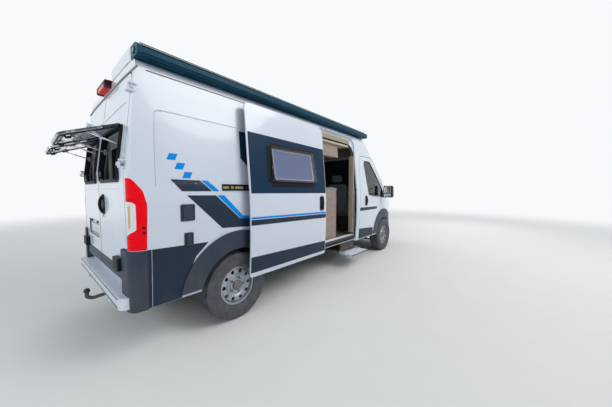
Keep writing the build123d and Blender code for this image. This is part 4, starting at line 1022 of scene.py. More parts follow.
class CAMPER_OT_wheels(bpy.types.Operator):
    """Wheel bolts, centre caps, valves and the beads of the rims"""

    bl_idname = "camper.wheels"
    bl_label = "Wheel fittings"

    def execute(self, context):
        bolts = context.scene.camper_wheels.bolts
        for name in WHEELS:
            side = RIGHT if name.endswith("right") else LEFT
            low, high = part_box(f"tyre_{name}")
            middle = (low + high) / 2
            outward = Vector((0, side, 0))
            tree = surface_of(f"rim_{name}")

            def face_at(reach, turn):
                start = middle + Vector((math.sin(turn) * reach, side * 0.4, math.cos(turn) * reach))
                return tree.ray_cast(start, -outward)[0]

            metal = new_piece(f"wheel_fittings_{name}", "wheel_steel", 35, f"wheel_{name}")
            hub = face_at(0.012, 0.4)
            cap = ((-0.004, 0.056), (0.006, 0.056), (0.016, 0.053), (0.021, 0.046), (0.024, 0.030),
                   (0.025, 0.001))
            add_rings(metal, (middle.x, hub.y, middle.z), outward, cap, 32)
            collar = ((-0.004, 0.0145), (0.003, 0.0145), (0.005, 0.012), (0.006, 0.0105))
            head = ((0.002, 0.0105), (0.015, 0.0105), (0.018, 0.008), (0.0185, 0.001))
            for index in range(bolts):
                turn = 2 * math.pi * (index + 0.3) / bolts
                base = face_at(0.078, turn)
                add_rings(metal, base, outward, collar, 20)
                add_rings(metal, base, outward, head, 6)
            rim = face_at(0.185, 2.1)
            add_tube(metal, [rim + outward * reach for reach in (-0.004, 0.010, 0.022)], 0.0042, 10)
            ring = new_piece(f"wheel_beads_{name}", "wheel_silver", 60, f"wheel_{name}")
            for share in (0.118, 0.128):
                loop = [face_at(share, 2 * math.pi * step / 60) + outward * 0.001 for step in range(60)]
                add_tube(ring, loop, 0.0022, 6, closed=True)
        finish_pieces()
        return {"FINISHED"}


class CAMPER_OT_back_windows(bpy.types.Operator):
    """Frames, panes, stays, blinds and catches of the two rear windows"""

    bl_idname = "camper.back_windows"
    bl_label = "Rear windows"

    def execute(self, context):
        angle = math.radians(69)
        for side, word in SIDES:
            body = f"rear_door_{word}"
            second_finish(f"rear_window_{word}", "black_moulding",
                          lambda normal, centre: centre.x > axle_x - 0.975 and centre.z < 1.95)
            hit = on_back(PANE_OUT)
            opening = rounded(rectangle(0.115, 0.760, 1.505, 1.940), 0.05, 6)
            opening = [Vector((p.x * side, p.y)) for p in opening]
            black = new_piece(f"back_window_frame_{word}", "black_moulding", 40, body)
            laid(black, dense(grown(opening, 0.024)), hit, 0.0003, 0.003, 0.2, (grown(opening, 0.004),))
            edge_tube(black, opening, 0.003, hit, 0.004, 0.0065)

            # the swung-up pane, drawn from its hinge: across, down along it and outwards
            origin = at(-0.95124, 0, 1.946)
            across = Vector((0, side, 0))
            along = Vector((-math.sin(angle), 0, -math.cos(angle)))
            outward = Vector((-math.cos(angle), 0, math.sin(angle)))
            axes = (origin, across, along, outward)
            corners = ((0.125, 0.008), (0.750, 0.008), (0.750, 0.383), (0.125, 0.383))
            edge = rounded(corners, (0.01, 0.01, 0.055, 0.055), 6)
            rim = new_piece(f"back_pane_rim_{word}", "black_moulding", 45, body)
            add_tube(rim, placed(axes, grown(edge, -0.006), -0.002), 0.0055, 8, closed=True)
            add_tube(rim, placed(axes, grown(edge, -0.030), -0.003), 0.0035, 6, closed=True)
            for x in (0.200, 0.675):
                place = origin + across * x + along * 0.345 - outward * 0.001
                grip = [place, place - outward * 0.016, place - outward * 0.020 - along * 0.030]
                add_tube(rim, grip, 0.0075, 10)
                add_tube(rim, [place - outward * 0.012, place - outward * 0.012 - along * 0.046], 0.0055, 8)
            add_tube(rim, placed(axes, ((0.13, 0), (0.745, 0)), 0.012), 0.010, 10)

            stays = new_piece(f"back_stays_{word}", "bright_metal", 40, body)
            plates = new_piece(f"back_stay_plates_{word}", "cap_grey", 40, body)
            for x in (0.140, 0.735):
                foot = at(-0.944, side * x, 1.790)
                joint = origin + across * x + along * 0.215 - outward * 0.014
                add_tube(stays, [foot, foot.lerp(joint, 0.55)], 0.0060, 10)
                add_tube(stays, [foot.lerp(joint, 0.50), joint], 0.0040, 10)
                collar = ((0, 0.009), (0.02, 0.009), (0.024, 0.006))
                add_rings(stays, foot.lerp(joint, 0.53), joint - foot, collar, 16)
                inward = Vector((0, -side if x > 0.4 else side, 0))
                small = rounded(rectangle(-0.010, 0.010, -0.024, 0.024), 0.006, 3)
                add_slab(plates, small, -0.002, 0.009, (joint, across, along, outward), 0.001)
                large = rounded(rectangle(-0.012, 0.012, -0.026, 0.026), 0.006, 3)
                add_slab(plates, large, -0.004, 0.010, (foot, FORWARD, UP, inward), 0.001)

            cassette = new_piece(f"back_blind_box_{word}", "light_grey_plastic", 40, body)
            inner_x = -0.915
            bars = (
                # distances from the middle, heights, depth, rounding
                (0.080, 0.795, 1.475, 1.515, 0.030, 0.006),
                (0.080, 0.795, 1.925, 1.985, 0.030, 0.006),
                (0.080, 0.110, 1.515, 1.925, 0.028, 0.004),
                (0.765, 0.795, 1.515, 1.925, 0.028, 0.004),
            )
            for near, far, z_low, z_high, depth, bevel in bars:
                a, b = sorted((side * near, side * far))
                add_box(cassette, at(inner_x, a, z_low), at(inner_x + depth, b, z_high), bevel)
            lines = []
            for index in range(19):
                x = inner_x + 0.006 + (0.012 if index % 2 else 0.0)
                lines.append([at(x, side * y, 1.925 - 0.0065 * index) for y in (0.112, 0.763)])
            pleated(f"back_blind_{word}", lines, 0.0012, "silver_cloth", body)
        finish_pieces()
        return {"FINISHED"}


class CAMPER_OT_door_window(bpy.types.Operator):
    """Frame, pane edge, blind and stays of the window in the sliding door"""

    bl_idname = "camper.door_window"
    bl_label = "Door window"

    def execute(self, context):
        second_finish("sliding_window", "black_moulding", lambda normal, centre: not (
            0.405 < centre.x - axle_x < 1.215 and 1.508 < centre.z < 1.936
        ))
        hit = on_skin(RIGHT, DOOR_OUT + PANE_OUT)
        black = new_piece("door_window_frame", "black_moulding", 40)
        outline = dense(grown(side_window, -0.001), 0.06)
        opening = dense(grown(side_window, -0.042), 0.06)
        laid(black, outline, hit, 0.0003, 0.004, 0.2, (opening,))
        edge_tube(black, side_window, -0.001, hit, 0.001, 0.0060, 0.06)
        edge_tube(black, side_window, -0.044, hit, 0.003, 0.0055, 0.06)

        # the pane, swung out from its hinge: across, down along it and outwards
        angle = math.radians(10)
        hinge_z = 1.934
        across = FORWARD
        down = Vector((0, RIGHT * math.sin(angle), -math.cos(angle)))
        outward = Vector((0, RIGHT * math.cos(angle), math.sin(angle)))
        origin = at(0.407, -(skin_half(hinge_z) + DOOR_OUT + 0.0093), hinge_z)
        axes = (origin, across, down, outward)
        wide = 0.806
        tall = 0.424
        rim = new_piece("door_pane_rim", "black_moulding", 45)
        edge = rounded(rectangle(0.004, wide - 0.004, 0.010, tall), (0.01, 0.01, 0.05, 0.05), 6)
        for reach, size in ((0.001, 0.0058), (-0.018, 0.0050)):
            add_tube(rim, placed(axes, grown(edge, -0.002), reach), size, 8, closed=True)
        add_tube(rim, placed(axes, ((0, 0), (wide, 0)), 0.003), 0.010, 10)

        pale = new_piece("door_blind_frame", "white_plastic", 40)
        inner = rounded(rectangle(0.040, wide - 0.040, 0.030, tall - 0.038), 0.012, 3)
        add_tube(pale, placed(axes, inner, -0.026), 0.0075, 8, closed=True)
        folds = 44
        lines = []
        for index in range(folds + 1):
            drop = 0.032 + (tall - 0.070) / folds * index
            depth = 0.028 + (0.0035 if index % 2 else 0.0)
            lines.append(placed(axes, ((0.042, drop), (wide - 0.042, drop)), -depth))
        pleated("door_blind", lines, 0.0, "blind_cloth")

        stays = new_piece("door_window_stays", "bright_metal", 40)
        for x in (0.014, wide - 0.014):
            foot = at(0.407 + x, -(skin_half(1.62) + 0.075), 1.700)
            joint = origin + across * x + down * 0.330 - outward * 0.022
            add_tube(stays, [foot, foot.lerp(joint, 0.6)], 0.0055, 10)
            add_tube(stays, [foot.lerp(joint, 0.5), joint], 0.0038, 10)
        finish_pieces()
        return {"FINISHED"}


class CAMPER_OT_tail(bpy.types.Operator):
    """Lamp lenses, handle, plate, seals, blocks and caps of the tail"""

    bl_idname = "camper.tail"
    bl_label = "Tail fittings"

    def execute(self, context):
        lamps = "rear_lamps"
        film = 0.0015
        for side, word in SIDES:
            def back(y, z):
                return tail_hit(lamps, side * y, z)

            def flank(x, z):
                return side_hit(lamps, side, x, z)

            clear = new_piece(f"clear_lens_{word}", "white_lens", 60)
            corners = ((0.9305, 1.322), (1.008, 1.318), (1.008, 1.095), (0.9305, 1.045))
            laid(clear, rounded(corners, (0.004, 0.03, 0.03, 0.004), 5), back, 0.0004, film, 0.012)
            amber = new_piece(f"amber_lens_{word}", "amber_lens", 60)
            corners = ((0.962, 1.290), (0.978, 1.290), (0.978, 1.120), (0.962, 1.105))
            laid(amber, rounded(corners, 0.006, 4), back, 0.0020, film, 0.012)
            dark = new_piece(f"lamp_slots_{word}", "black_moulding", 60)
            for z_low, z_high in ((1.105, 1.125), (1.062, 1.082)):
                laid(dark, rectangle(-0.893, -0.872, z_low, z_high), flank, 0.0004, film, 0.02)
            for z in (1.335, 1.028):
                laid(dark, rectangle(0.9305, 0.992, z, z + 0.004), back, 0.0004, 0.001, 0.012)
            ribs = new_piece(f"lens_ribs_{word}", "red_lens", 60)
            for low, count in ((1.350, 9), (0.950, 4)):
                for index in range(count):
                    z = low + 0.018 * index
                    laid(ribs, rectangle(0.9315, 0.990, z, z + 0.0035), back, 0.0, 0.0016, 0.015)

            blocks = new_piece(f"bumper_block_{word}", "black_moulding", 40)
            y_low, y_high = sorted((side * 0.650, side * 0.812))
            add_box(blocks, at(-1.022, y_low, 0.745), at(-0.930, y_high, 0.852), 0.008, 3)

            body = f"rear_door_{word}"
            band = new_piece(f"back_door_band_{word}", "dark_panel", 60, body)
            outline = [Vector((side * y, z)) for y, z in rectangle(0.010, 0.796, 0.660, 0.765)]
            laid(band, outline, on_back(), 0.0004, 0.0008, 0.1)
            seam = new_piece(f"back_door_seal_{word}", "rubber_seal", 60, body)
            outline = ((0.0065, 0.660), (0.796, 0.660), (0.796, 0.940), (0.912, 0.946), (0.862, 2.366),
                       (0.0065, 2.366))
            edge_tube(seam, [(side * y, z) for y, z in outline], 0, on_back(), -0.004, 0.0042, 0.06, 6)

            crease = new_piece(f"back_door_crease_{word}", "body_paint", 60, body)
            rows = [(side * (0.060 + 0.045 * i), 2.105 + 0.030 * (i / 16.0)) for i in range(17)]
            add_tube(crease, traced(rows, on_back(), -0.0015), 0.0065, 10, squash=0.9)
            low = [(side * (0.075 + 0.042 * i), 1.425) for i in range(17)]
            add_tube(crease, traced(low, on_back(), -0.002), 0.0055, 10)

        handle = new_piece("back_door_handle", "black_moulding", 40, "rear_door_right")
        shape = rounded(rectangle(-0.250, -0.130, 1.175, 1.375), 0.055, 8)
        laid(handle, dense(shape, 0.03), on_back(), 0.0, 0.008, 0.05)
        grip = [on_back()(-0.190, z) for z in (1.195, 1.235, 1.275, 1.315, 1.355)]
        lifts = (0.008, 0.026, 0.031, 0.026, 0.008)
        add_tube(handle, [p + n * lift for (p, n), lift in zip(grip, lifts)], 0.013, 12)
        lock = new_piece("back_door_lock", "bright_metal", 40, "rear_door_right")
        centre, normal = on_back(0.008)(-0.190, 1.160)
        barrel = ((0, 0.011), (0.010, 0.011), (0.012, 0.009), (0.012, 0.001))
        add_rings(lock, centre - normal * 0.010, normal, barrel, 24)

        plate = new_piece("back_plate", "blank_plate", 30, "rear_door_left")
        shape = rounded(rectangle(0.085, 0.585, 0.935, 1.045), 0.010, 3)
        laid(plate, shape, on_back(-0.014), 0.0004, 0.004, 0.3)
        edge = new_piece("plate_edge", "black_moulding", 40, "rear_door_left")
        add_tube(edge, traced(grown(shape, -0.002), on_back(-0.014), 0.005), 0.0028, 6, closed=True)
        outline = rounded(rectangle(0.070, 0.600, 0.905, 1.085), 0.025, 5)
        edge_tube(edge, outline, -0.003, on_back(), -0.003, 0.0035, steps=6)
        for y in (0.17, 0.50):
            lamp, normal = on_back(-0.010)(y, 1.068)
            add_box(edge, lamp - Vector((0.012, 0.028, 0.008)), lamp + Vector((0.004, 0.028, 0.008)), 0.003)
        finish_pieces()
        return {"FINISHED"}


def raised_handle(name, x_low, x_high, z_low, z_high, hit, body):
    """Oval handle plate with its upright grip and lock barrel."""
    bm = new_piece(name, "black_moulding", 45, body)
    corner = min(x_high - x_low, z_high - z_low) * 0.42
    shape = rounded(rectangle(x_low, x_high, z_low, z_high), corner, 7)
    laid(bm, dense(shape, 0.03), hit, 0.0, 0.006, 0.05)
    edge_tube(bm, shape, -0.004, hit, 0.007, 0.0045, 0.02)
    x = (x_low + x_high) / 2
    places = [z_low + (z_high - z_low) * share for share in (0.10, 0.24, 0.42, 0.60, 0.78, 0.90)]
    lifts = (0.004, 0.024, 0.032, 0.033, 0.026, 0.004)
    path = []
    for z, lift in zip(places, lifts):
        point, normal = hit(x, z)
        path.append(point + normal * lift)
    add_tube(bm, path, 0.014, 14, squash=0.7)
    lock = new_piece(f"{name}_lock", "bright_metal", 45, body)
    point, normal = hit(x, z_low + (z_high - z_low) * 0.03)
    add_rings(lock, point, normal, ((0.0, 0.009), (0.008, 0.009), (0.0095, 0.0075), (0.0096, 0.0005)), 20)


class CAMPER_OT_side_fittings(bpy.types.Operator):
    """Rail, handles, seals, hatches, vent and left window frames of the sides"""

    bl_idname = "camper.side_fittings"
    bl_label = "Side fittings"

    def execute(self, context):
        skin = on_skin(RIGHT)
        door_skin = on_skin(RIGHT, DOOR_OUT)
        channel = new_piece("middle_rail_lips", "black_moulding", 45)
        for z in (1.414, 1.471):
            path = traced([(-0.188 + 0.1 * i, z) for i in range(16)] + [(1.298, z)], skin, 0.009)
            add_tube(channel, path, 0.0050, 8)
        laid(channel, rectangle(-0.189, 1.299, 1.416, 1.469), skin, 0.0082, 0.0012, 0.3)
        grease = new_piece("middle_rail_grease", "rail_grease", 45)
        for x_low, x_high in ((-0.185, -0.118), (-0.095, -0.060), (-0.045, 0.060), (0.10, 1.20)):
            smear = rounded(rectangle(x_low, x_high, 1.430, 1.452), 0.009, 4)
            laid(grease, smear, skin, 0.0098, 0.0016, 0.2)

        raised_handle("slide_door_handle", 1.330, 1.425, 1.113, 1.331, door_skin, "van")
        for side, word in SIDES:
            body = f"cab_door_{word}"
            hit = on_side(body, side)
            raised_handle(f"cab_door_handle_{word}", 2.995, 3.075, 1.100, 1.310, hit, body)

        rubber = new_piece("slide_door_seal", "rubber_seal", 50)
        edge = rounded(rectangle(0.085, 1.490, 0.445, 2.375), (0.03, 0.03, 0.12, 0.06), 5)
        edge_tube(rubber, edge, -0.030, on_skin(RIGHT, 0.072), 0.0, 0.0085, 0.06)
        edging = new_piece("slide_door_edging", "lining_light", 50)
        path = [(1.488, 0.470 + (2.255 - 0.470) * i / 24) for i in range(25)]
        add_tube(edging, traced(path, on_skin(RIGHT, 0.082)), 0.0036, 6)

        flaps = new_piece("hatch_lids", "dark_trim", 40)
        lines = new_piece("hatch_lines", "black_gloss", 40)
        rows = (
            # side, low x, high x, low z, high z
            (RIGHT, -0.601, -0.477, 1.137, 1.288),
            (RIGHT, -0.575, -0.495, 0.911, 1.031),
            (LEFT, 0.700, 1.050, 0.620, 0.930),
            (LEFT, 2.250, 2.400, 1.120, 1.270),
        )
        for side, x_low, x_high, z_low, z_high in rows:
            hit = on_skin(side, 0.007)
            corners = rectangle(x_low + 0.006, x_high - 0.006, z_low + 0.006, z_high - 0.006)
            outer = rounded(corners, 0.012, 4)
            laid(flaps, dense(grown(outer, -0.012), 0.05), hit, 0.0, 0.0045, 0.1)
            edge_tube(flaps, outer, 0, hit, 0.0005, 0.0040, steps=6)
            edge_tube(lines, outer, -0.010, hit, 0.0022, 0.0016, steps=6)
            lock = ((0, 0.010), (0.008, 0.010), (0.010, 0.008), (0.0102, 0.0005))
            add_rings(flaps, *hit((x_low + x_high) / 2, z_low + 0.022), lock, 18)
            for share in (0.28, 0.72):
                top, normal = hit(x_low + (x_high - x_low) * share, z_high - 0.010)
                half = Vector((0.010, 0.010, 0.006))
                add_box(flaps, top - half, top + half, 0.003)

        vents = new_piece("wall_vent", "light_grey_plastic", 40)
        for index in range(7):
            z = 0.720 + 0.030 * index
            laid(vents, rectangle(1.340, 1.600, z, z + 0.012), on_skin(LEFT), 0.0, 0.006, 0.2)
        fuel = new_piece("fuel_lid", "body_paint", 40)
        shape = rounded(rectangle(2.480, 2.640, 0.880, 1.060), 0.03, 5)
        edge_tube(fuel, shape, 0, on_skin(LEFT), -0.002, 0.0035, steps=6)
        laid(fuel, dense(grown(shape, -0.006)), on_skin(LEFT), -0.002, 0.0035, 0.1)
        glass_trim = new_piece("left_window_frames", "black_moulding", 45)
        hit = on_skin(LEFT, PANE_OUT)
        for x_low, x_high, z_low, z_high in ((1.700, 2.480, 1.490, 1.940), (-0.600, -0.060, 1.510, 1.860)):
            shape = rounded(rectangle(x_low, x_high, z_low, z_high), 0.06, 6)
            hole = dense(grown(shape, -0.020), 0.08)
            laid(glass_trim, dense(grown(shape, 0.014), 0.08), hit, -0.006, 0.009, 0.3, (hole,))
            edge_tube(glass_trim, shape, -0.021, hit, 0.001, 0.004, 0.08, 6)
            wide = x_high - x_low - 0.06
            top = [(x_low + 0.03 + wide * i / 8, z_high - 0.004) for i in range(9)]
            add_tube(glass_trim, traced(top, hit, 0.006), 0.009, 10)
        finish_pieces()
        return {"FINISHED"}


class CAMPER_OT_doorway(bpy.types.Operator):
    """Seal, upper track, sill, latches and trim of the side doorway"""

    bl_idname = "camper.doorway"
    bl_label = "Side doorway"

    def execute(self, context):
        opening = rounded(rectangle(1.330, 2.618, 0.500, 2.255), (0.04, 0.04, 0.19, 0.09), 8)
        seal = new_piece("doorway_seal", "rubber_seal", 50)
        edge_tube(seal, opening, 0.010, on_skin(RIGHT, -0.0225), 0.0, 0.0105, steps=10)
        edge_tube(seal, opening, -0.001, on_skin(RIGHT, -0.0280), 0.0, 0.0060)
        track = new_piece("upper_track", "trim_beige", 45)
        for index in range(5):
            line = [(1.30 + 0.1 * i, 2.288 + 0.015 * index) for i in range(13)]
            add_tube(track, traced(line, on_skin(RIGHT, -0.0215)), 0.0052, 8)
        laid(track, rectangle(1.290, 2.520, 2.280, 2.358), on_skin(RIGHT, -0.0235), 0.0, 0.0015, 0.3)
        sill = new_piece("door_sill", "step_metal", 40)
        add_box(sill, at(1.345, -0.985, 0.5605), at(2.600, -0.905, 0.5655), 0.002)
        for index in range(7):
            y = -0.976 + 0.0105 * index
            add_tube(sill, [at(1.350, y, 0.5665), at(2.595, y, 0.5665)], 0.0028, 6)
        trim = new_piece("pillar_trim", "trim_beige", 45)
        add_box(trim, at(2.592, -0.968, 0.600), at(2.614, -0.860, 2.070), 0.008, 3)
        header = new_piece("header_trim", "trim_beige", 45)
        add_box(header, at(1.345, -0.940, 2.205), at(2.430, -0.760, 2.240), 0.010, 3)
        latches = new_piece("door_latches", "black_moulding", 45)
        for z in (2.030, 1.420, 1.040):
            base, normal = on_skin(RIGHT, -0.024)(2.634, z)
            low, high = base - Vector((0.011, 0.010, 0.030)), base + Vector((0.011, 0.014, 0.030))
            add_box(latches, low, high, 0.004)
            pin = base + Vector((0, -0.012, 0.012))
            add_rings(latches, pin, (0, -1, 0), ((0, 0.006), (0.006, 0.006), (0.007, 0.001)), 14)
        arms = new_piece("door_rollers", "galvanised", 45)
        for x, z in ((1.455, 0.520), (1.455, 2.190)):
            base, normal = on_skin(RIGHT, 0.030)(x, z)
            add_rod(arms, base - 0.035 * FORWARD, base + 0.035 * FORWARD, 0.010, 14)
            roller = base + Vector((0.028, 0.012, 0))
            add_rod(arms, roller - 0.014 * UP, roller + 0.014 * UP, 0.014, 18)
        finish_pieces()
        return {"FINISHED"}


class CAMPER_OT_cab_sides(bpy.types.Operator):
    """Window seals and strips, mirror glass and ribs, door linings of the cab"""

    bl_idname = "camper.cab_sides"
    bl_label = "Cab sides"

    def execute(self, context):
        window = rounded(
            ((3.155, 1.335), (2.995, 2.015), (3.290, 2.015), (3.975, 1.400), (3.985, 1.300),
             (3.445, 1.303)),
            (0.04, 0.07, 0.06, 0.06, 0.02, 0.10), 6,
        )
        for side, word in SIDES:
            body = f"cab_door_{word}"

            def skin(x, z):
                taper = 0.0 if x < 3.1 else 0.050 * ((x - 3.1) / 1.15) ** 1.6
                place, normal = on_skin(side)(x, z)
                return place - Vector((0, side * taper, 0)), normal

            seal = new_piece(f"cab_window_seal_{word}", "rubber_seal", 50, body)
            edge_tube(seal, window, 0, skin, -0.004, 0.0075, 0.06)
            strip = new_piece(f"cab_window_strips_{word}", "black_moulding", 50, body)
            low_edge = [(3.175 + 0.80 * i / 12, 1.325 - 0.022 * min(1.0, i / 4)) for i in range(13)]
            add_tube(strip, traced(low_edge, skin, 0.003), 0.0085, 8, squash=0.7)
            bar = [(3.905, 1.310 + 0.147 * i / 4) for i in range(5)]
            add_tube(strip, traced(bar, skin, -0.010), 0.0080, 8)

            mirror = new_piece(f"mirror_glass_{word}", "mirror_face", 30, body)
            low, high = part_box(f"door_mirror_{word}")
            y_in, y_out = sorted((abs(low.y), abs(high.y)))
            y_in = max(y_in, 1.066) + 0.016
            y_out -= 0.016
            large = ((y_in, 1.345), (y_out, 1.345), (y_out - 0.006, 1.500), (y_in + 0.006, 1.500))
            small = rectangle(y_in, y_out, 1.272, 1.332)
            axes = (Vector((low.x - 0.0008, 0, 0)), Vector((0, side, 0)), UP, -FORWARD)
            for corners, round_by in ((large, 0.025), (small, 0.018)):
                outline = rounded(corners, round_by, 5)
                rings = []
                for reach, inset in ((-0.014, 0.0), (0.0, 0.0), (0.002, 0.004), (0.0005, 0.007)):
                    ring = placed(axes, grown(outline, -inset), reach)
                    rings.append([mirror.verts.new(place) for place in ring])
                join_rings(mirror, rings)
            ribs = new_piece(f"mirror_ribs_{word}", "black_moulding", 45, body)
            for index in range(5):
                z = 1.355 + 0.022 * index
                add_tube(ribs, [at(3.957, side * 1.095, z), at(3.957, side * 1.215, z)], 0.0035, 6)

            lining = new_piece(f"door_lining_{word}", "soft_grip", 45, body)
            inner = side * 0.958
            shapes = (
                # armrest, pocket and pull: x limits, z limits and depth into the cab
                (3.05, 3.75, 1.02, 1.09, 0.055),
                (3.10, 3.78, 0.62, 0.80, 0.045),
                (3.30, 3.55, 1.12, 1.16, 0.040),
            )
            for x_low, x_high, z_low, z_high, reach in shapes:
                a, b = sorted((inner, inner - side * reach))
                add_box(lining, at(x_low, a, z_low), at(x_high, b, z_high), 0.014, 3)
        finish_pieces()
        return {"FINISHED"}


class CAMPER_OT_roof(bpy.types.Operator):
    """Awning caps and lines, gutter and pod seals, brake lamp and roof light lids"""

    bl_idname = "camper.roof"
    bl_label = "Roof fittings"

    def execute(self, context):
        low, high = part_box("awning")
        profile = rounded(
            ((-0.985, 2.478), (-0.812, 2.478), (-0.812, 2.588), (-0.930, 2.588), (-0.985, 2.550)),
            (0.018, 0.006, 0.020, 0.040, 0.020), 6,
        )
        caps = new_piece("awning_caps", "awning_case", 40)
        discs = new_piece("awning_discs", "cap_grey", 40)
        for x, outward in ((low.x, -1), (high.x, 1)):
            axes = (Vector((x, 0, 0)), Vector((0, 1, 0)), UP, outward * FORWARD)
            add_slab(caps, grown(profile, -0.001), -0.030, 0.012, axes, 0.004)
            dish = ((0, 0.030), (0.006, 0.030), (0.008, 0.026), (0.004, 0.018), (0.004, 0.001))
            add_rings(caps, (x + outward * 0.011, -0.900, 2.530), (outward, 0, 0), dish, 28)
            disc = ((0, 0.018), (0.005, 0.018), (0.007, 0.014), (0.0072, 0.0005))
            add_rings(discs, (x + outward * 0.0155, -0.900, 2.530), (outward, 0, 0), disc, 24)
            screw = ((0, 0.005), (0.004, 0.005), (0.005, 0.001))
            for y, z in ((-0.955, 2.500), (-0.835, 2.500), (-0.835, 2.570)):
                add_rings(discs, (x + outward * 0.011, y, z), (outward, 0, 0), screw, 12)
        lines = new_piece("awning_lines", "black_moulding", 40)
        for y, z in ((-0.9865, 2.497), (-0.9865, 2.548), (-0.935, 2.5895), (-0.960, 2.4765)):
            add_tube(lines, [Vector((low.x + 0.02, y, z)), Vector((high.x - 0.02, y, z))], 0.0032, 6)
        count = 5
        for index in range(count):
            x = low.x + (high.x - low.x) * (index + 0.5) / count
            add_box(lines, (x - 0.030, -0.830, 2.430), (x + 0.030, -0.806, 2.560), 0.006)

        gutter = new_piece("gutter_seals", "beige_seal", 50)
        for side in (RIGHT, LEFT):
            line = [(-0.80 + 0.15 * i, 2.3955) for i in range(24)]
            add_tube(gutter, traced(line, on_skin(side)), 0.0040, 6)

        seal = new_piece("tail_top_seal", "beige_seal", 50)
        rows = [(-0.985 + 1.97 * i / 30, 2.384) for i in range(31)]
        add_tube(seal, traced(rows, on_back(), 0.002), 0.0075, 8)

        low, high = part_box("brake_light")
        ends = new_piece("brake_light_case", "black_moulding", 40)
        for side in (RIGHT, LEFT):
            a, b = sorted((side * 0.130, side * 0.1915))
            add_box(ends, (low.x - 0.003, a, low.z - 0.003), (high.x - 0.008, b, high.z + 0.001), 0.012, 3)
        add_box(ends, (low.x - 0.001, -0.14, high.z - 0.022),
                (high.x - 0.008, 0.14, high.z + 0.002), 0.008, 3)
        lens = new_piece("brake_light_lens", "brake_lens", 40)
        for index in range(13):
            y = -0.120 + 0.020 * index
            add_box(lens, (low.x - 0.0025, y - 0.0085, low.z + 0.006),
                    (low.x + 0.010, y + 0.0085, high.z - 0.026), 0.003)

        lids = new_piece("roof_light_lids", "smoked_dome", 30)
        frames = new_piece("roof_light_frames", "cap_grey", 40)
        for x, half_x, half_y in ((2.000, 0.350, 0.250), (0.250, 0.200, 0.200)):
            inner_x, inner_y = half_x - 0.030, half_y - 0.030
            shape = rounded(rectangle(x - inner_x, x + inner_x, -inner_y, inner_y), 0.05, 6)
            rings = []
            rows = ((-0.012, 0.0), (0.001, 0.0), (0.006, 0.012), (0.009, 0.030), (0.0097, 0.044))
            for reach, inset in rows:
                rings.append([lids.verts.new(at(p.x, p.y, 2.592 + reach)) for p in grown(shape, -inset)])
            join_rings(lids, rings)
            outer_x, outer_y = half_x + 0.004, half_y + 0.004
            outer = rounded(rectangle(x - outer_x, x + outer_x, -outer_y, outer_y), 0.062, 6)
            add_tube(frames, [at(p.x, p.y, 2.545) for p in outer], 0.006, 8, closed=True)
            for side in (RIGHT, LEFT):
                y = side * (half_y - 0.012)
                add_box(frames, at(x - 0.05, y - 0.012, 2.580), at(x + 0.05, y + 0.012, 2.5965), 0.004)
        pod = new_piece("pod_seal", "beige_seal", 50)
        corners = ((-0.868, -0.806), (-0.868, -0.060), (-0.420, -0.060), (-0.420, -0.806))
        outline = rounded(corners, (0.09, 0.09, 0.06, 0.06), 6)
        tree = surface_of("roof_shell rear_frame")
        path = []
        for p in dense(outline, 0.08):
            point = tree.ray_cast(at(p.x, p.y, 3.0), -UP)[0]
            if point is not None:
                path.append(point + Vector((0, 0, 0.003)))
        add_tube(pod, path, 0.007, 8, closed=True)
        finish_pieces()
        return {"FINISHED"}


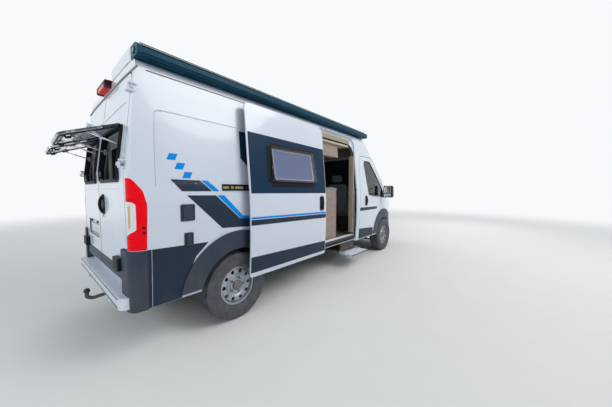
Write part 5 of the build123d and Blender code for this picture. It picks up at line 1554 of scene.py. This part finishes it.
class CAMPER_OT_furniture(bpy.types.Operator):
    """Cabinet and locker fronts, sink, tap, hob, washroom door, table edge and lamps"""

    bl_idname = "camper.furniture"
    bl_label = "Furniture"

    def execute(self, context):
        fronts = new_piece("kitchen_fronts", "cabinet_wood", 40)
        knobs = new_piece("kitchen_knobs", "bright_metal", 40)
        edges = new_piece("kitchen_edges", "wood_edge", 40)
        columns = ((1.205, 1.480), (1.490, 1.785), (1.795, 2.075))
        levels = ((0.625, 1.030), (1.045, 1.220), (1.235, 1.395))
        for x_low, x_high in columns:
            for z_low, z_high in levels:
                add_box(fronts, at(x_low, -0.5205, z_low), at(x_high, -0.5085, z_high), 0.004)
                x = (x_low + x_high) / 2
                add_rings(knobs, at(x, -0.5090, z_high - 0.035), (0, 1, 0),
                          ((0, 0.012), (0.004, 0.012), (0.005, 0.008), (0.005, 0.0005)), 20)
        for z in (0.975, 1.205, 1.395):
            add_tube(edges, [at(1.340, -0.8915, z), at(2.100, -0.8915, z)], 0.0022, 6)
        add_box(edges, at(2.1035, -0.888, 0.565), at(2.1075, -0.522, 1.422), 0.001)
        for x, y in ((2.104, -0.8895), (2.104, -0.5205)):
            add_tube(edges, [at(x, y, 0.562), at(x, y, 1.424)], 0.0065, 8)
        steel = new_piece("sink_and_tap", "bright_metal", 35)
        bowl = ((-0.024, 0.001), (-0.0235, 0.110), (-0.018, 0.145), (-0.004, 0.156), (0.001, 0.163),
                (0.003, 0.170), (0.0012, 0.176))
        rings = []
        for reach, radius in bowl:
            ring = [Vector((math.cos(i * math.pi / 20), math.sin(i * math.pi / 20), 0)) for i in range(40)]
            rings.append([steel.verts.new(at(1.420, -0.700, 1.4555 + reach) + p * radius) for p in ring])
        join_rings(steel, rings, caps=False)
        steel.faces.new(rings[0])
        bmesh.ops.solidify(steel, geom=steel.faces[:], thickness=-0.0008)
        drain = ((0, 0.024), (0.003, 0.024), (0.004, 0.018), (0.002, 0.001))
        add_rings(steel, at(1.420, -0.700, 1.4335), UP, drain, 24)
        tap = [at(1.270, -0.820, 1.455 + 0.02 * i) for i in range(8)]
        for turn in (0.3, 0.6, 0.9, 1.2, 1.57):
            reach = 0.05 * math.sin(turn)
            tap.append(at(1.270 + reach, -0.820 + reach, 1.595 + 0.05 * (1 - math.cos(turn))))
        tap += [at(1.345, -0.770, 1.642), at(1.360, -0.755, 1.628)]
        add_tube(steel, tap, 0.011, 12)
        foot = ((0, 0.024), (0.006, 0.024), (0.009, 0.018), (0.04, 0.016))
        add_rings(steel, at(1.270, -0.820, 1.455), UP, foot, 24)
        lever = [at(1.270, -0.820, 1.500), at(1.235, -0.840, 1.520), at(1.205, -0.850, 1.545)]
        add_tube(steel, lever, 0.006, 10)
        hob = new_piece("hob_lid", "black_gloss", 35)
        add_box(hob, at(1.660, -0.870, 1.4555), at(2.060, -0.540, 1.4625), 0.003)
        rim = new_piece("hob_frame", "bright_metal", 35)
        shape = rounded(rectangle(1.655, 2.065, -0.875, -0.535), 0.012, 4)
        add_tube(rim, [at(p.x, p.y, 1.4585) for p in shape], 0.0045, 8, closed=True)
        for x in (1.72, 2.00):
            add_rod(rim, at(x - 0.02, -0.876, 1.464), at(x + 0.02, -0.876, 1.464), 0.006, 12)

        doors = new_piece("locker_doors", "cabinet_wood", 40)
        catches = new_piece("locker_catches", "bright_metal", 40)
        rows = ((RIGHT, -0.700, 2.120, 6), (LEFT, -0.700, 0.600, 3), (LEFT, 1.520, 2.560, 2))
        upward = Vector((0, 0.120, -0.390)).normalized()
        for side, x_low, x_high, count in rows:
            down = Vector((0, side * upward.y, upward.z))
            outward = Vector((0, -side * 0.390, -0.120)).normalized()
            axes = (at(0, side * 0.640, 2.380), FORWARD, down, outward)
            wide = (x_high - x_low) / count
            for index in range(count):
                a = x_low + wide * index + 0.006
                b = a + wide - 0.012
                middle = (a + b) / 2
                door = rounded(rectangle(a, b, 0.022, 0.385), 0.010, 3)
                add_slab(doors, door, -0.002, 0.008, axes, 0.003)
                catch = rounded(rectangle(middle - 0.022, middle + 0.022, 0.345, 0.372), 0.012, 4)
                add_slab(catches, catch, 0.006, 0.012, axes, 0.002)

        wash = new_piece("washroom_door", "cabinet_wood", 40)
        shape = rounded(rectangle(0.760, 1.330, 0.640, 2.240), 0.05, 5)
        add_slab(wash, shape, -0.002, 0.006, (at(0, 0.180, 0), FORWARD, UP, Vector((0, -1, 0))), 0.002)
        line = new_piece("washroom_trim", "bright_metal", 40)
        edge = dense(grown(shape, 0.004), 0.1)
        add_tube(line, [at(p.x, 0.176, p.y) for p in edge], 0.005, 8, closed=True)
        add_rod(line, at(1.285, 0.178, 1.36), at(1.285, 0.150, 1.36), 0.016, 18)
        grip = [at(1.285, 0.152, 1.36), at(1.230, 0.148, 1.36), at(1.185, 0.150, 1.36)]
        add_tube(line, grip, 0.009, 10)
        table = new_piece("table_edge", "wood_edge", 40)
        shape = rounded(rectangle(2.248, 2.702, 0.328, 0.905), 0.02, 4)
        add_tube(table, [at(p.x, p.y, 1.254) for p in shape], 0.012, 8, closed=True)
        foot = ((0, 0.085), (0.006, 0.085), (0.014, 0.060), (0.030, 0.045))
        add_rings(table, at(2.470, 0.530, 0.561), UP, foot, 32)
        lamps = new_piece("ceiling_lamps", "white_lens", 40)
        for x in (-0.35, 0.85, 1.55):
            point = surface_of("roof_shell").ray_cast(at(x, 0, 1.8), UP)[0]
            dome = ((0, 0.060), (0.010, 0.060), (0.016, 0.052), (0.018, 0.001))
            add_rings(lamps, point + Vector((0, 0, 0.003)), -UP, dome, 32)
        finish_pieces()
        return {"FINISHED"}


def swollen(bm, voxel, pressure, cap):
    """Mesh of a closed form filled by cloth pressure, its points moved no further than cap."""
    mesh = bpy.data.meshes.new("swelling")
    bmesh.ops.recalc_face_normals(bm, faces=bm.faces)
    bm.to_mesh(mesh)
    bm.free()
    form = link("swelling", mesh)
    remesh = form.modifiers.new("even_mesh", "REMESH")
    remesh.mode = "VOXEL"
    remesh.voxel_size = voxel
    graph = bpy.context.evaluated_depsgraph_get()
    even = bpy.data.meshes.new_from_object(form.evaluated_get(graph))
    form.modifiers.clear()
    form.data = even
    rest = [v.co.copy() for v in even.vertices]
    air = form.modifiers.new("air", "CLOTH")
    air.settings.quality = 4
    air.settings.mass = 0.3
    air.settings.use_pressure = True
    air.settings.uniform_pressure_force = pressure
    air.settings.effector_weights.gravity = 0
    scene = bpy.context.scene
    for moment in range(1, 21):
        scene.frame_set(moment)
    graph = bpy.context.evaluated_depsgraph_get()
    moved = form.evaluated_get(graph).to_mesh()
    targets = [v.co.copy() for v in moved.vertices]
    form.evaluated_get(graph).to_mesh_clear()
    form.modifiers.clear()
    scene.frame_set(1)
    for vert, start, target in zip(even.vertices, rest, targets):
        step = target - start
        if step.length > cap:
            step = step.normalized() * cap
        vert.co = start + step
    bpy.data.objects.remove(form)
    return even


def soft_piece(name, mesh, finish, limits, turn=None):
    """Piece from a swollen mesh, kept between its limits and smoothed."""
    low, high = Vector(limits[0]), Vector(limits[1])
    for vert in mesh.vertices:
        for axis in range(3):
            vert.co[axis] = min(max(vert.co[axis], low[axis]), high[axis])
    if turn is not None:
        mesh.transform(turn)
    mesh.materials.clear()
    mesh.materials.append(finishes[finish])
    piece = link(name, mesh)
    mesh.shade_smooth()
    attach(piece, "van")
    return piece


def piping(bm, low, high, axis, corners, step, radius):
    """Two sewn cords round a cushion, at both ends of one axis of the box between two places."""
    first, second = [k for k in range(3) if k != axis]
    shape = rounded(rectangle(low[first], high[first], low[second], high[second]), *corners)
    for place in (low[axis], high[axis]):
        points = []
        for p in dense(shape, step):
            point = [0, 0, 0]
            point[first], point[second], point[axis] = p.x, p.y, place
            points.append(at(*point))
        add_tube(bm, points, radius, 8, closed=True)


class CAMPER_OT_soft_goods(bpy.types.Operator):
    """Mattress, bench cushions and cab seats as swollen, sewn forms"""

    bl_idname = "camper.soft_goods"
    bl_label = "Soft goods"

    def execute(self, context):
        cord = new_piece("mattress_piping", "seat_cloth", 60)
        for index, (x_low, x_high) in enumerate(((-0.862, -0.160), (-0.155, 0.582))):
            bm = bmesh.new()
            add_box(bm, at(x_low + 0.010, -0.935, 1.006), at(x_high - 0.010, 0.935, 1.104), 0.030, 3)
            mesh = swollen(bm, 0.024, 3.0, 0.020)
            limits = (at(x_low, -0.955, 1.0005), at(x_high, 0.955, 1.122))
            soft_piece(f"mattress_half_{index + 1}", mesh, "bed_cloth", limits)
            low, high = (x_low + 0.008, -0.940, 1.018), (x_high - 0.008, 0.940, 1.098)
            piping(cord, low, high, 2, (0.04, 5), 0.1, 0.0045)
        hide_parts("mattress")

        rows = (
            # name, low and high corner, low and high end of its piping and the axis that this runs round
            ("bench_seat", (1.690, 0.235, 0.9603), (2.110, 0.940, 1.080),
             (1.702, 0.249, 0.9763), (2.098, 0.926, 1.064), 2),
            ("bench_back", (1.5703, 0.235, 1.085), (1.685, 0.930, 1.560),
             (1.5883, 0.249, 1.099), (1.669, 0.916, 1.546), 0),
            ("bench_foot", (1.5703, 0.235, 0.9603), (1.685, 0.930, 1.080),
             (1.5823, 0.249, 0.9763), (1.673, 0.916, 1.064), 2),
        )
        seams = new_piece("bench_piping", "bed_cloth", 60)
        for name, low, high, cord_low, cord_high, axis in rows:
            bm = bmesh.new()
            inset = Vector((0.010, 0.010, 0.010))
            add_box(bm, at(*low) + inset, at(*high) - inset, 0.028, 3)
            mesh = swollen(bm, 0.012, 4.0, 0.016)
            soft_piece(name, mesh, "seat_cloth", (at(*low), at(*high)))
            piping(seams, cord_low, cord_high, axis, (0.03, 4), 0.08, 0.0040)
        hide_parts("dinette_cushions")

        seat = bmesh.new()
        add_box(seat, (2.930, -0.165, 0.862), (3.385, 0.165, 0.950), 0.030, 3)
        for y in (-0.205, 0.205):
            add_box(seat, (2.935, y - 0.037, 0.862), (3.360, y + 0.037, 0.968), 0.028, 3)
        add_box(seat, (3.300, -0.215, 0.858), (3.392, 0.215, 0.944), 0.035, 3)
        back = bmesh.new()
        add_box(back, (-0.028, -0.155, 0.040), (0.040, 0.155, 0.640), 0.028, 3)
        for y in (-0.190, 0.190):
            add_box(back, (-0.040, y - 0.042, 0.020), (0.058, y + 0.042, 0.640), 0.032, 3)
        add_box(back, (-0.045, -0.205, 0.560), (0.034, 0.205, 0.662), 0.034, 3)
        rest = bmesh.new()
        add_box(rest, (-0.030, -0.112, 0.700), (0.022, 0.112, 0.832), 0.024, 3)
        meshes = (
            # name, swollen mesh, its limits, whether it leans with the back
            ("seat_pad", swollen(seat, 0.011, 4.0, 0.014),
             ((2.882, -0.250, 0.8505), (3.398, 0.250, 0.979)), False),
            ("seat_back", swollen(back, 0.011, 4.0, 0.012),
             ((-0.055, -0.238, 0.0), (0.058, 0.238, 0.668)), True),
            ("head_rest", swollen(rest, 0.009, 4.0, 0.010),
             ((-0.036, -0.128, 0.690), (0.028, 0.128, 0.842)), True),
        )
        lean = math.atan2(-0.105, 0.660)
        for side, word in SIDES:
            y = side * 0.450
            shift = Matrix.Translation(Vector((axle_x, y, 0)))
            turn = Matrix.Translation(at(2.940, y, 0.900)) @ Matrix.Rotation(lean, 4, "Y")
            for name, mesh, limits, leans in meshes:
                place = turn if leans else shift
                soft_piece(f"{name}_{word}", mesh.copy(), "seat_cloth", limits, place)
            stitches = new_piece(f"seat_seams_{word}", "lining_dark", 60)
            for offset in (-0.160, 0.160):
                pad = [shift @ Vector((2.945 + 0.05 * i, offset, 0.962)) for i in range(8)]
                back = [turn @ Vector((0.047, offset, 0.060 + 0.06 * i)) for i in range(9)]
                add_tube(stitches, pad, 0.0030, 6)
                add_tube(stitches, back, 0.0030, 6)
            across = [-0.150 + 0.03 * i for i in range(11)]
            for reach in (0.16, 0.30, 0.44):
                add_tube(stitches, [turn @ Vector((0.049, offset, reach)) for offset in across], 0.0026, 6)
            for x in (3.05, 3.17):
                add_tube(stitches, [shift @ Vector((x, offset, 0.9635)) for offset in across], 0.0026, 6)
            hard = new_piece(f"seat_base_{word}", "soft_grip", 40)
            add_box(hard, at(2.935, y - 0.188, 0.5603), at(3.288, y + 0.188, 0.640), 0.012)
            add_box(hard, at(2.960, y - 0.165, 0.630), at(3.262, y + 0.165, 0.800), 0.020, 3)
            add_box(hard, at(2.905, y - 0.205, 0.795), at(3.330, y + 0.205, 0.858), 0.018, 3)
            for offset in (-0.060, 0.060):
                add_tube(hard, [turn @ Vector((-0.004, offset, z)) for z in (0.640, 0.730)], 0.0065, 10)
            for offset in (-0.228, 0.228):
                wing = ((2.915, offset, 0.845), (2.930, offset, 0.900), (2.920, offset, 0.945))
                add_tube(hard, [shift @ Vector(p) for p in wing], 0.020, 12, squash=0.8)
            rod = ((0.0, 0.265), (0.10, 0.262), (0.20, 0.250), (0.28, 0.236))
            add_tube(hard, [turn @ Vector((x, -side * 0.262, z)) for x, z in rod], 0.022, 14)
            if side == RIGHT:
                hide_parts("cab_seats")
        finish_pieces()
        return {"FINISHED"}


class CAMPER_OT_cockpit(bpy.types.Operator):
    """Dashboard fittings, gear lever, windscreen border, blind and wipers"""

    bl_idname = "camper.cockpit"
    bl_label = "Cockpit"

    def execute(self, context):
        panel = new_piece("dash_fittings", "black_moulding", 40)
        for y in (-0.72, -0.16, 0.16, 0.74):
            add_box(panel, at(3.690, y - 0.055, 1.185), at(3.735, y + 0.055, 1.255), 0.012, 3)
            for index in range(5):
                z = 1.194 + 0.013 * index
                add_tube(panel, [at(3.689, y - 0.046, z), at(3.689, y + 0.046, z)], 0.0025, 6)
        add_box(panel, at(3.640, -0.150, 0.960), at(3.740, 0.150, 1.150), 0.018, 3)
        for y in (-0.09, 0.0, 0.09):
            knob = ((0, 0.020), (0.010, 0.020), (0.016, 0.016), (0.017, 0.001))
            add_rings(panel, at(3.640, y, 0.995), -FORWARD, knob, 24)
        add_box(panel, at(3.655, -0.790, 1.020), at(3.745, -0.330, 1.140), 0.020, 3)
        add_box(panel, at(3.640, 0.285, 1.190), at(3.800, 0.615, 1.318), 0.030, 3)
        screen = new_piece("dash_screen", "black_gloss", 40)
        add_box(screen, at(3.6355, -0.110, 1.030), at(3.6445, 0.110, 1.140), 0.003)
        stick = new_piece("gear_lever", "soft_grip", 50)
        path = [at(3.620, 0.0, 0.940), at(3.560, 0.0, 1.000), at(3.530, 0.0, 1.060)]
        add_tube(stick, path, 0.010, 10)
        knob = ((0, 0.012), (0.01, 0.022), (0.03, 0.026), (0.05, 0.020), (0.058, 0.001))
        add_rings(stick, at(3.535, 0, 1.050), (-0.4, 0, 1), knob, 20)

        tree = surface_of("windows")
        z_low, z_high = 1.425, 2.115
        folds = 56
        columns = 22
        lines = []
        for index in range(folds + 1):
            z = z_low + (z_high - z_low) * index / folds
            half = (0.885 - 0.105 * (z - 1.39) / 0.75) * 0.985
            reach = Vector((0.045 + (0.009 if index % 2 else 0.0), 0, 0))
            row = []
            for step in range(columns + 1):
                y = half * (2 * step / columns - 1)
                point = tree.ray_cast(at(2.9, y, z), FORWARD)[0]
                if point is None:
                    point = tree.find_nearest(at(5.5 - z, y, z))[0]
                row.append(point - reach)
            lines.append(row)
        pleated("windscreen_blind", lines, 0.0, "dark_blind")

        def glass(y, z):
            return ray_hit("windows", at(5.4, y, z), -FORWARD, at(4.2 - (z - 1.4) * 1.06, y, z))

        edge = new_piece("windscreen_border", "black_gloss", 60)
        corners = ((-0.905, 1.392), (0.905, 1.392), (0.800, 2.128), (-0.800, 2.128))
        outline = rounded(corners, (0.07, 0.07, 0.09, 0.09), 6)
        hole = dense(grown(outline, -0.055), 0.08)
        laid(edge, dense(grown(outline, -0.004), 0.08), glass, 0.0003, 0.0008, 0.09, (hole,))
        seal = new_piece("windscreen_seal", "rubber_seal", 60)
        edge_tube(seal, outline, -0.004, glass, 0.004, 0.0075, 0.06)
        wipers = new_piece("wipers", "black_moulding", 45)
        ends = (((-0.10, 1.405), (-0.78, 1.500)), ((0.62, 1.405), (-0.06, 1.520)))
        for start, end in (map(Vector, pair) for pair in ends):
            pivot = ((0, 0.020), (0.016, 0.020), (0.024, 0.014), (0.025, 0.001))
            add_rings(wipers, *glass(*start), pivot, 20)
            path = []
            for share in (0.0, 0.2, 0.4, 0.6, 0.8, 1.0):
                y, z = start.lerp(end, share * 0.62)
                point, normal = glass(y, z + 0.012 * share)
                path.append(point + normal * (0.018 + 0.012 * math.sin(math.pi * share)))
            add_tube(wipers, path, 0.0075, 8, squash=0.7)
            shares = (0.0, 0.12, 0.25, 0.38, 0.5, 0.62, 0.75, 0.88, 1.0)
            blade = [start.lerp(end, 0.22 + 0.78 * share) for share in shares]
            add_tube(wipers, traced(blade, glass, 0.007), 0.0055, 8)
        finish_pieces()
        return {"FINISHED"}


class CAMPER_OT_nose(bpy.types.Operator):
    """Lamp bowls, grille bars, plate and seams of the nose"""

    bl_idname = "camper.nose"
    bl_label = "Nose"

    def execute(self, context):
        def hit(y, z, names="front_bumper"):
            return ray_hit(names, at(5.6, y, z), -FORWARD, at(4.95, y, z))

        bars = new_piece("grille_edges", "bright_metal", 45)
        for z in (0.882, 0.922, 0.962, 1.002, 1.040):
            line = [(-0.470 + 0.940 * index / 24, z) for index in range(25)]
            add_tube(bars, traced(line, hit, 0.001), 0.0055, 8)
        grille = new_piece("grille_mesh", "black_moulding", 45)
        for row in range(4):
            path = []
            for index in range(19):
                y = -0.470 + 0.940 * index / 18
                x = hit(y, 0.879 + 0.040 * row)[0].x - 0.030
                path.append(Vector((x, y, 0.902 + 0.040 * row)))
            add_tube(grille, path, 0.0032, 6)
        uprights = (
            # height where the bumper is measured, lower and upper end with their depths, radius
            (0.96, 0.880, 0.060, 1.040, 0.064, 0.0030),
            (0.54, 0.335, 0.075, 0.518, 0.075, 0.0035),
        )
        for z, z_low, low_back, z_high, high_back, radius in uprights:
            for index in range(31):
                y = -0.465 + 0.93 * index / 30
                x = hit(y, z)[0].x
                ends = [Vector((x - low_back, y, z_low)), Vector((x - high_back, y, z_high))]
                add_tube(grille, ends, radius, 6)
        plate = new_piece("front_plate", "blank_plate", 30)
        shape = rounded(rectangle(-0.260, 0.260, 0.600, 0.712), 0.010, 3)
        laid(plate, dense(shape, 0.1), hit, 0.0012, 0.0018, 0.15)
        holder = new_piece("bumper_details", "black_moulding", 45)
        laid(holder, dense(grown(shape, 0.010), 0.1), hit, 0.0, 0.0016, 0.15)
        low = [(-0.760 + 1.52 * i / 30, 0.560) for i in range(31)]
        add_tube(holder, traced(low, hit, 0.001), 0.0040, 6)
        fogs = new_piece("fog_lamps", "white_lens", 45)
        fog = ((0, 0.040), (0.006, 0.040), (0.009, 0.034), (0.005, 0.030), (0.009, 0.020), (0.011, 0.001))
        for side in (RIGHT, LEFT):
            y = side * 0.660
            shape = rounded(rectangle(y - 0.075, y + 0.075, 0.380, 0.500), 0.045, 5)
            laid(holder, dense(shape, 0.04), hit, 0.0004, 0.003, 0.05)
            point, normal = hit(y, 0.440)
            add_rings(fogs, point + normal * 0.002, normal, fog, 28)

        bowls = new_piece("headlamp_bowls", "bright_metal", 40)
        glow = new_piece("headlamp_bulbs", "white_lens", 40)
        dark = new_piece("headlamp_bezels", "amber_lens", 40)
        bulb = ((0, 0.014), (0.016, 0.016), (0.024, 0.010), (0.027, 0.001))
        for side in (RIGHT, LEFT):
            for y, z, radius in ((0.640, 0.960, 0.055), (0.760, 0.975, 0.048)):
                x = hit(side * y, z, "headlamps")[0].x
                centre = Vector((x - 0.065, side * y, z))
                rim = radius * 1.06
                bowl = ((-0.02, 0.020), (-0.018, radius * 0.6), (0.0, radius * 0.85), (0.024, radius),
                        (0.026, rim), (0.018, rim), (-0.030, radius * 0.7))
                add_rings(bowls, centre, FORWARD, bowl, 28)
                add_rings(glow, centre - Vector((0.015, 0, 0)), FORWARD, bulb, 20)
            for index in range(9):
                y = side * (0.555 + 0.034 * index)
                x = hit(y, 0.905, "headlamps")[0].x
                add_tube(dark, [Vector((x - 0.040, y, 0.890)), Vector((x - 0.050, y, 0.925))], 0.007, 8)
        crease = new_piece("bonnet_creases", "body_paint", 60, "bonnet")
        bonnet = surface_of("bonnet")
        for side in (LEFT, RIGHT):
            path = []
            for index in range(14):
                share = index / 13
                place = at(4.36 + 0.40 * share, side * (0.520 - 0.120 * share), 2.0)
                point = bonnet.ray_cast(place, -UP)[0]
                if point is not None:
                    path.append(point - Vector((0, 0, 0.0045)))
            add_tube(crease, path, 0.0085, 10)
        finish_pieces()
        return {"FINISHED"}


class CAMPER_OT_underside(bpy.types.Operator):
    """Step treads, tow ball cap, socket, brake discs and exhaust pipe"""

    bl_idname = "camper.underside"
    bl_label = "Steps and underside"

    def execute(self, context):
        tread = new_piece("rear_step_tread", "step_metal", 45)
        for index in range(9):
            x = -1.036 + 0.013 * index
            half = 0.895 if index < 4 else 0.775
            add_tube(tread, [at(x, -half, 0.5605), at(x, half, 0.5605)], 0.0030, 6)
        for index in range(36):
            y = -0.860 + 1.72 * index / 35
            add_tube(tread, [at(-1.038, y, 0.5612), at(-0.955, y + 0.010, 0.5612)], 0.0024, 6)
        lip = new_piece("rear_step_lips", "dark_trim", 45)
        for z in (0.480, 0.548):
            add_tube(lip, [at(-1.0455, -0.89, z), at(-1.0455, 0.89, z)], 0.0040, 6)
        # the box of the entrance step reaches up to its arms, above the board
        low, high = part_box("entrance_step")
        arm_height = 0.024
        top = high.z - arm_height
        ribs = new_piece("entrance_step_ribs", "step_metal", 45, "entrance_step")
        for index in range(9):
            y = low.y + 0.018 + 0.024 * index
            add_tube(ribs, [Vector((low.x + 0.02, y, top)), Vector((high.x - 0.02, y, top))], 0.0030, 6)
        edge = new_piece("entrance_step_nose", "soft_grip", 45, "entrance_step")
        nose = [Vector((x, low.y + 0.002, top - 0.010)) for x in (low.x + 0.01, high.x - 0.01)]
        add_tube(edge, nose, 0.009, 10)

        cap = new_piece("tow_ball_cap", "soft_grip", 50)
        dome = ((-0.012, 0.0262), (0.002, 0.0266), (0.016, 0.0215), (0.0240, 0.0115), (0.0265, 0.001))
        add_rings(cap, at(-1.115, 0, 0.395), UP, dome, 28)
        socket = new_piece("tow_socket", "black_moulding", 45)
        add_box(socket, at(-0.905, 0.085, 0.330), at(-0.870, 0.175, 0.395), 0.008)
        lid = ((0, 0.034), (0.020, 0.034), (0.026, 0.030), (0.028, 0.001))
        add_rings(socket, at(-0.905, 0.130, 0.362), -FORWARD, lid, 24)

        wheelbase = 4.035
        rows = ((-0.010, 0.060), (-0.010, 0.138), (0.010, 0.138), (0.010, 0.060), (0.045, 0.060),
                (0.050, 0.050), (0.052, 0.001))
        for x, y, word in ((0.0, 0.800, "rear"), (wheelbase, 0.790, "front")):
            for side, hand in SIDES:
                disc = new_piece(f"brake_disc_{word}_{hand}", "cast_iron", 35, f"wheel_{word}_{hand}")
                add_rings(disc, at(x, side * y, hub_height), (0, side, 0), rows, 40)
        pipes = new_piece("exhaust_pipe", "cast_iron", 50)
        path = [at(3.1, -0.25, 0.395), at(2.4, -0.25, 0.375), at(1.0, -0.28, 0.380), at(0.7, -0.25, 0.400),
                at(0.40, -0.25, 0.405)]
        fine = [here.lerp(after, share / 4) for here, after in zip(path, path[1:]) for share in range(4)]
        add_tube(pipes, fine + [path[-1]], 0.022, 12)
        finish_pieces()
        return {"FINISHED"}


class CAMPER_PT_panel(bpy.types.Panel):
    """Sizes, colours and the builders of the camper van"""

    bl_idname = "CAMPER_PT_panel"
    bl_label = "Camper van"
    bl_space_type = "VIEW_3D"
    bl_region_type = "UI"
    bl_category = "Camper"

    def draw(self, context):
        scene = context.scene
        for settings in (scene.camper_paint, scene.camper_wheels, scene.camper_lights):
            box = self.layout.box()
            for key in settings.bl_rna.properties.keys():
                if key not in ("rna_type", "name"):
                    box.prop(settings, key)
        for operator in steps:
            self.layout.operator(operator.bl_idname)


steps = (
    CAMPER_OT_stage,
    CAMPER_OT_finishes,
    CAMPER_OT_graphics,
    CAMPER_OT_tyres,
    CAMPER_OT_wheels,
    CAMPER_OT_back_windows,
    CAMPER_OT_door_window,
    CAMPER_OT_tail,
    CAMPER_OT_side_fittings,
    CAMPER_OT_doorway,
    CAMPER_OT_cab_sides,
    CAMPER_OT_roof,
    CAMPER_OT_furniture,
    CAMPER_OT_soft_goods,
    CAMPER_OT_cockpit,
    CAMPER_OT_nose,
    CAMPER_OT_underside,
)
settings_classes = (PaintSettings, WheelSettings, LightSettings)


def register():
    """Register the settings, the operators and the panel."""
    for cls in (*settings_classes, *steps, CAMPER_PT_panel):
        bpy.utils.register_class(cls)
    bpy.types.Scene.camper_paint = PointerProperty(type=PaintSettings)
    bpy.types.Scene.camper_wheels = PointerProperty(type=WheelSettings)
    bpy.types.Scene.camper_lights = PointerProperty(type=LightSettings)


def unregister():
    """Remove what register() added."""
    del bpy.types.Scene.camper_paint
    del bpy.types.Scene.camper_wheels
    del bpy.types.Scene.camper_lights
    for cls in reversed((*settings_classes, *steps, CAMPER_PT_panel)):
        bpy.utils.unregister_class(cls)


def main():
    register()
    for operator in steps:
        group, name = operator.bl_idname.split(".")
        getattr(getattr(bpy.ops, group), name)()


if __name__ == "__main__":
    main()
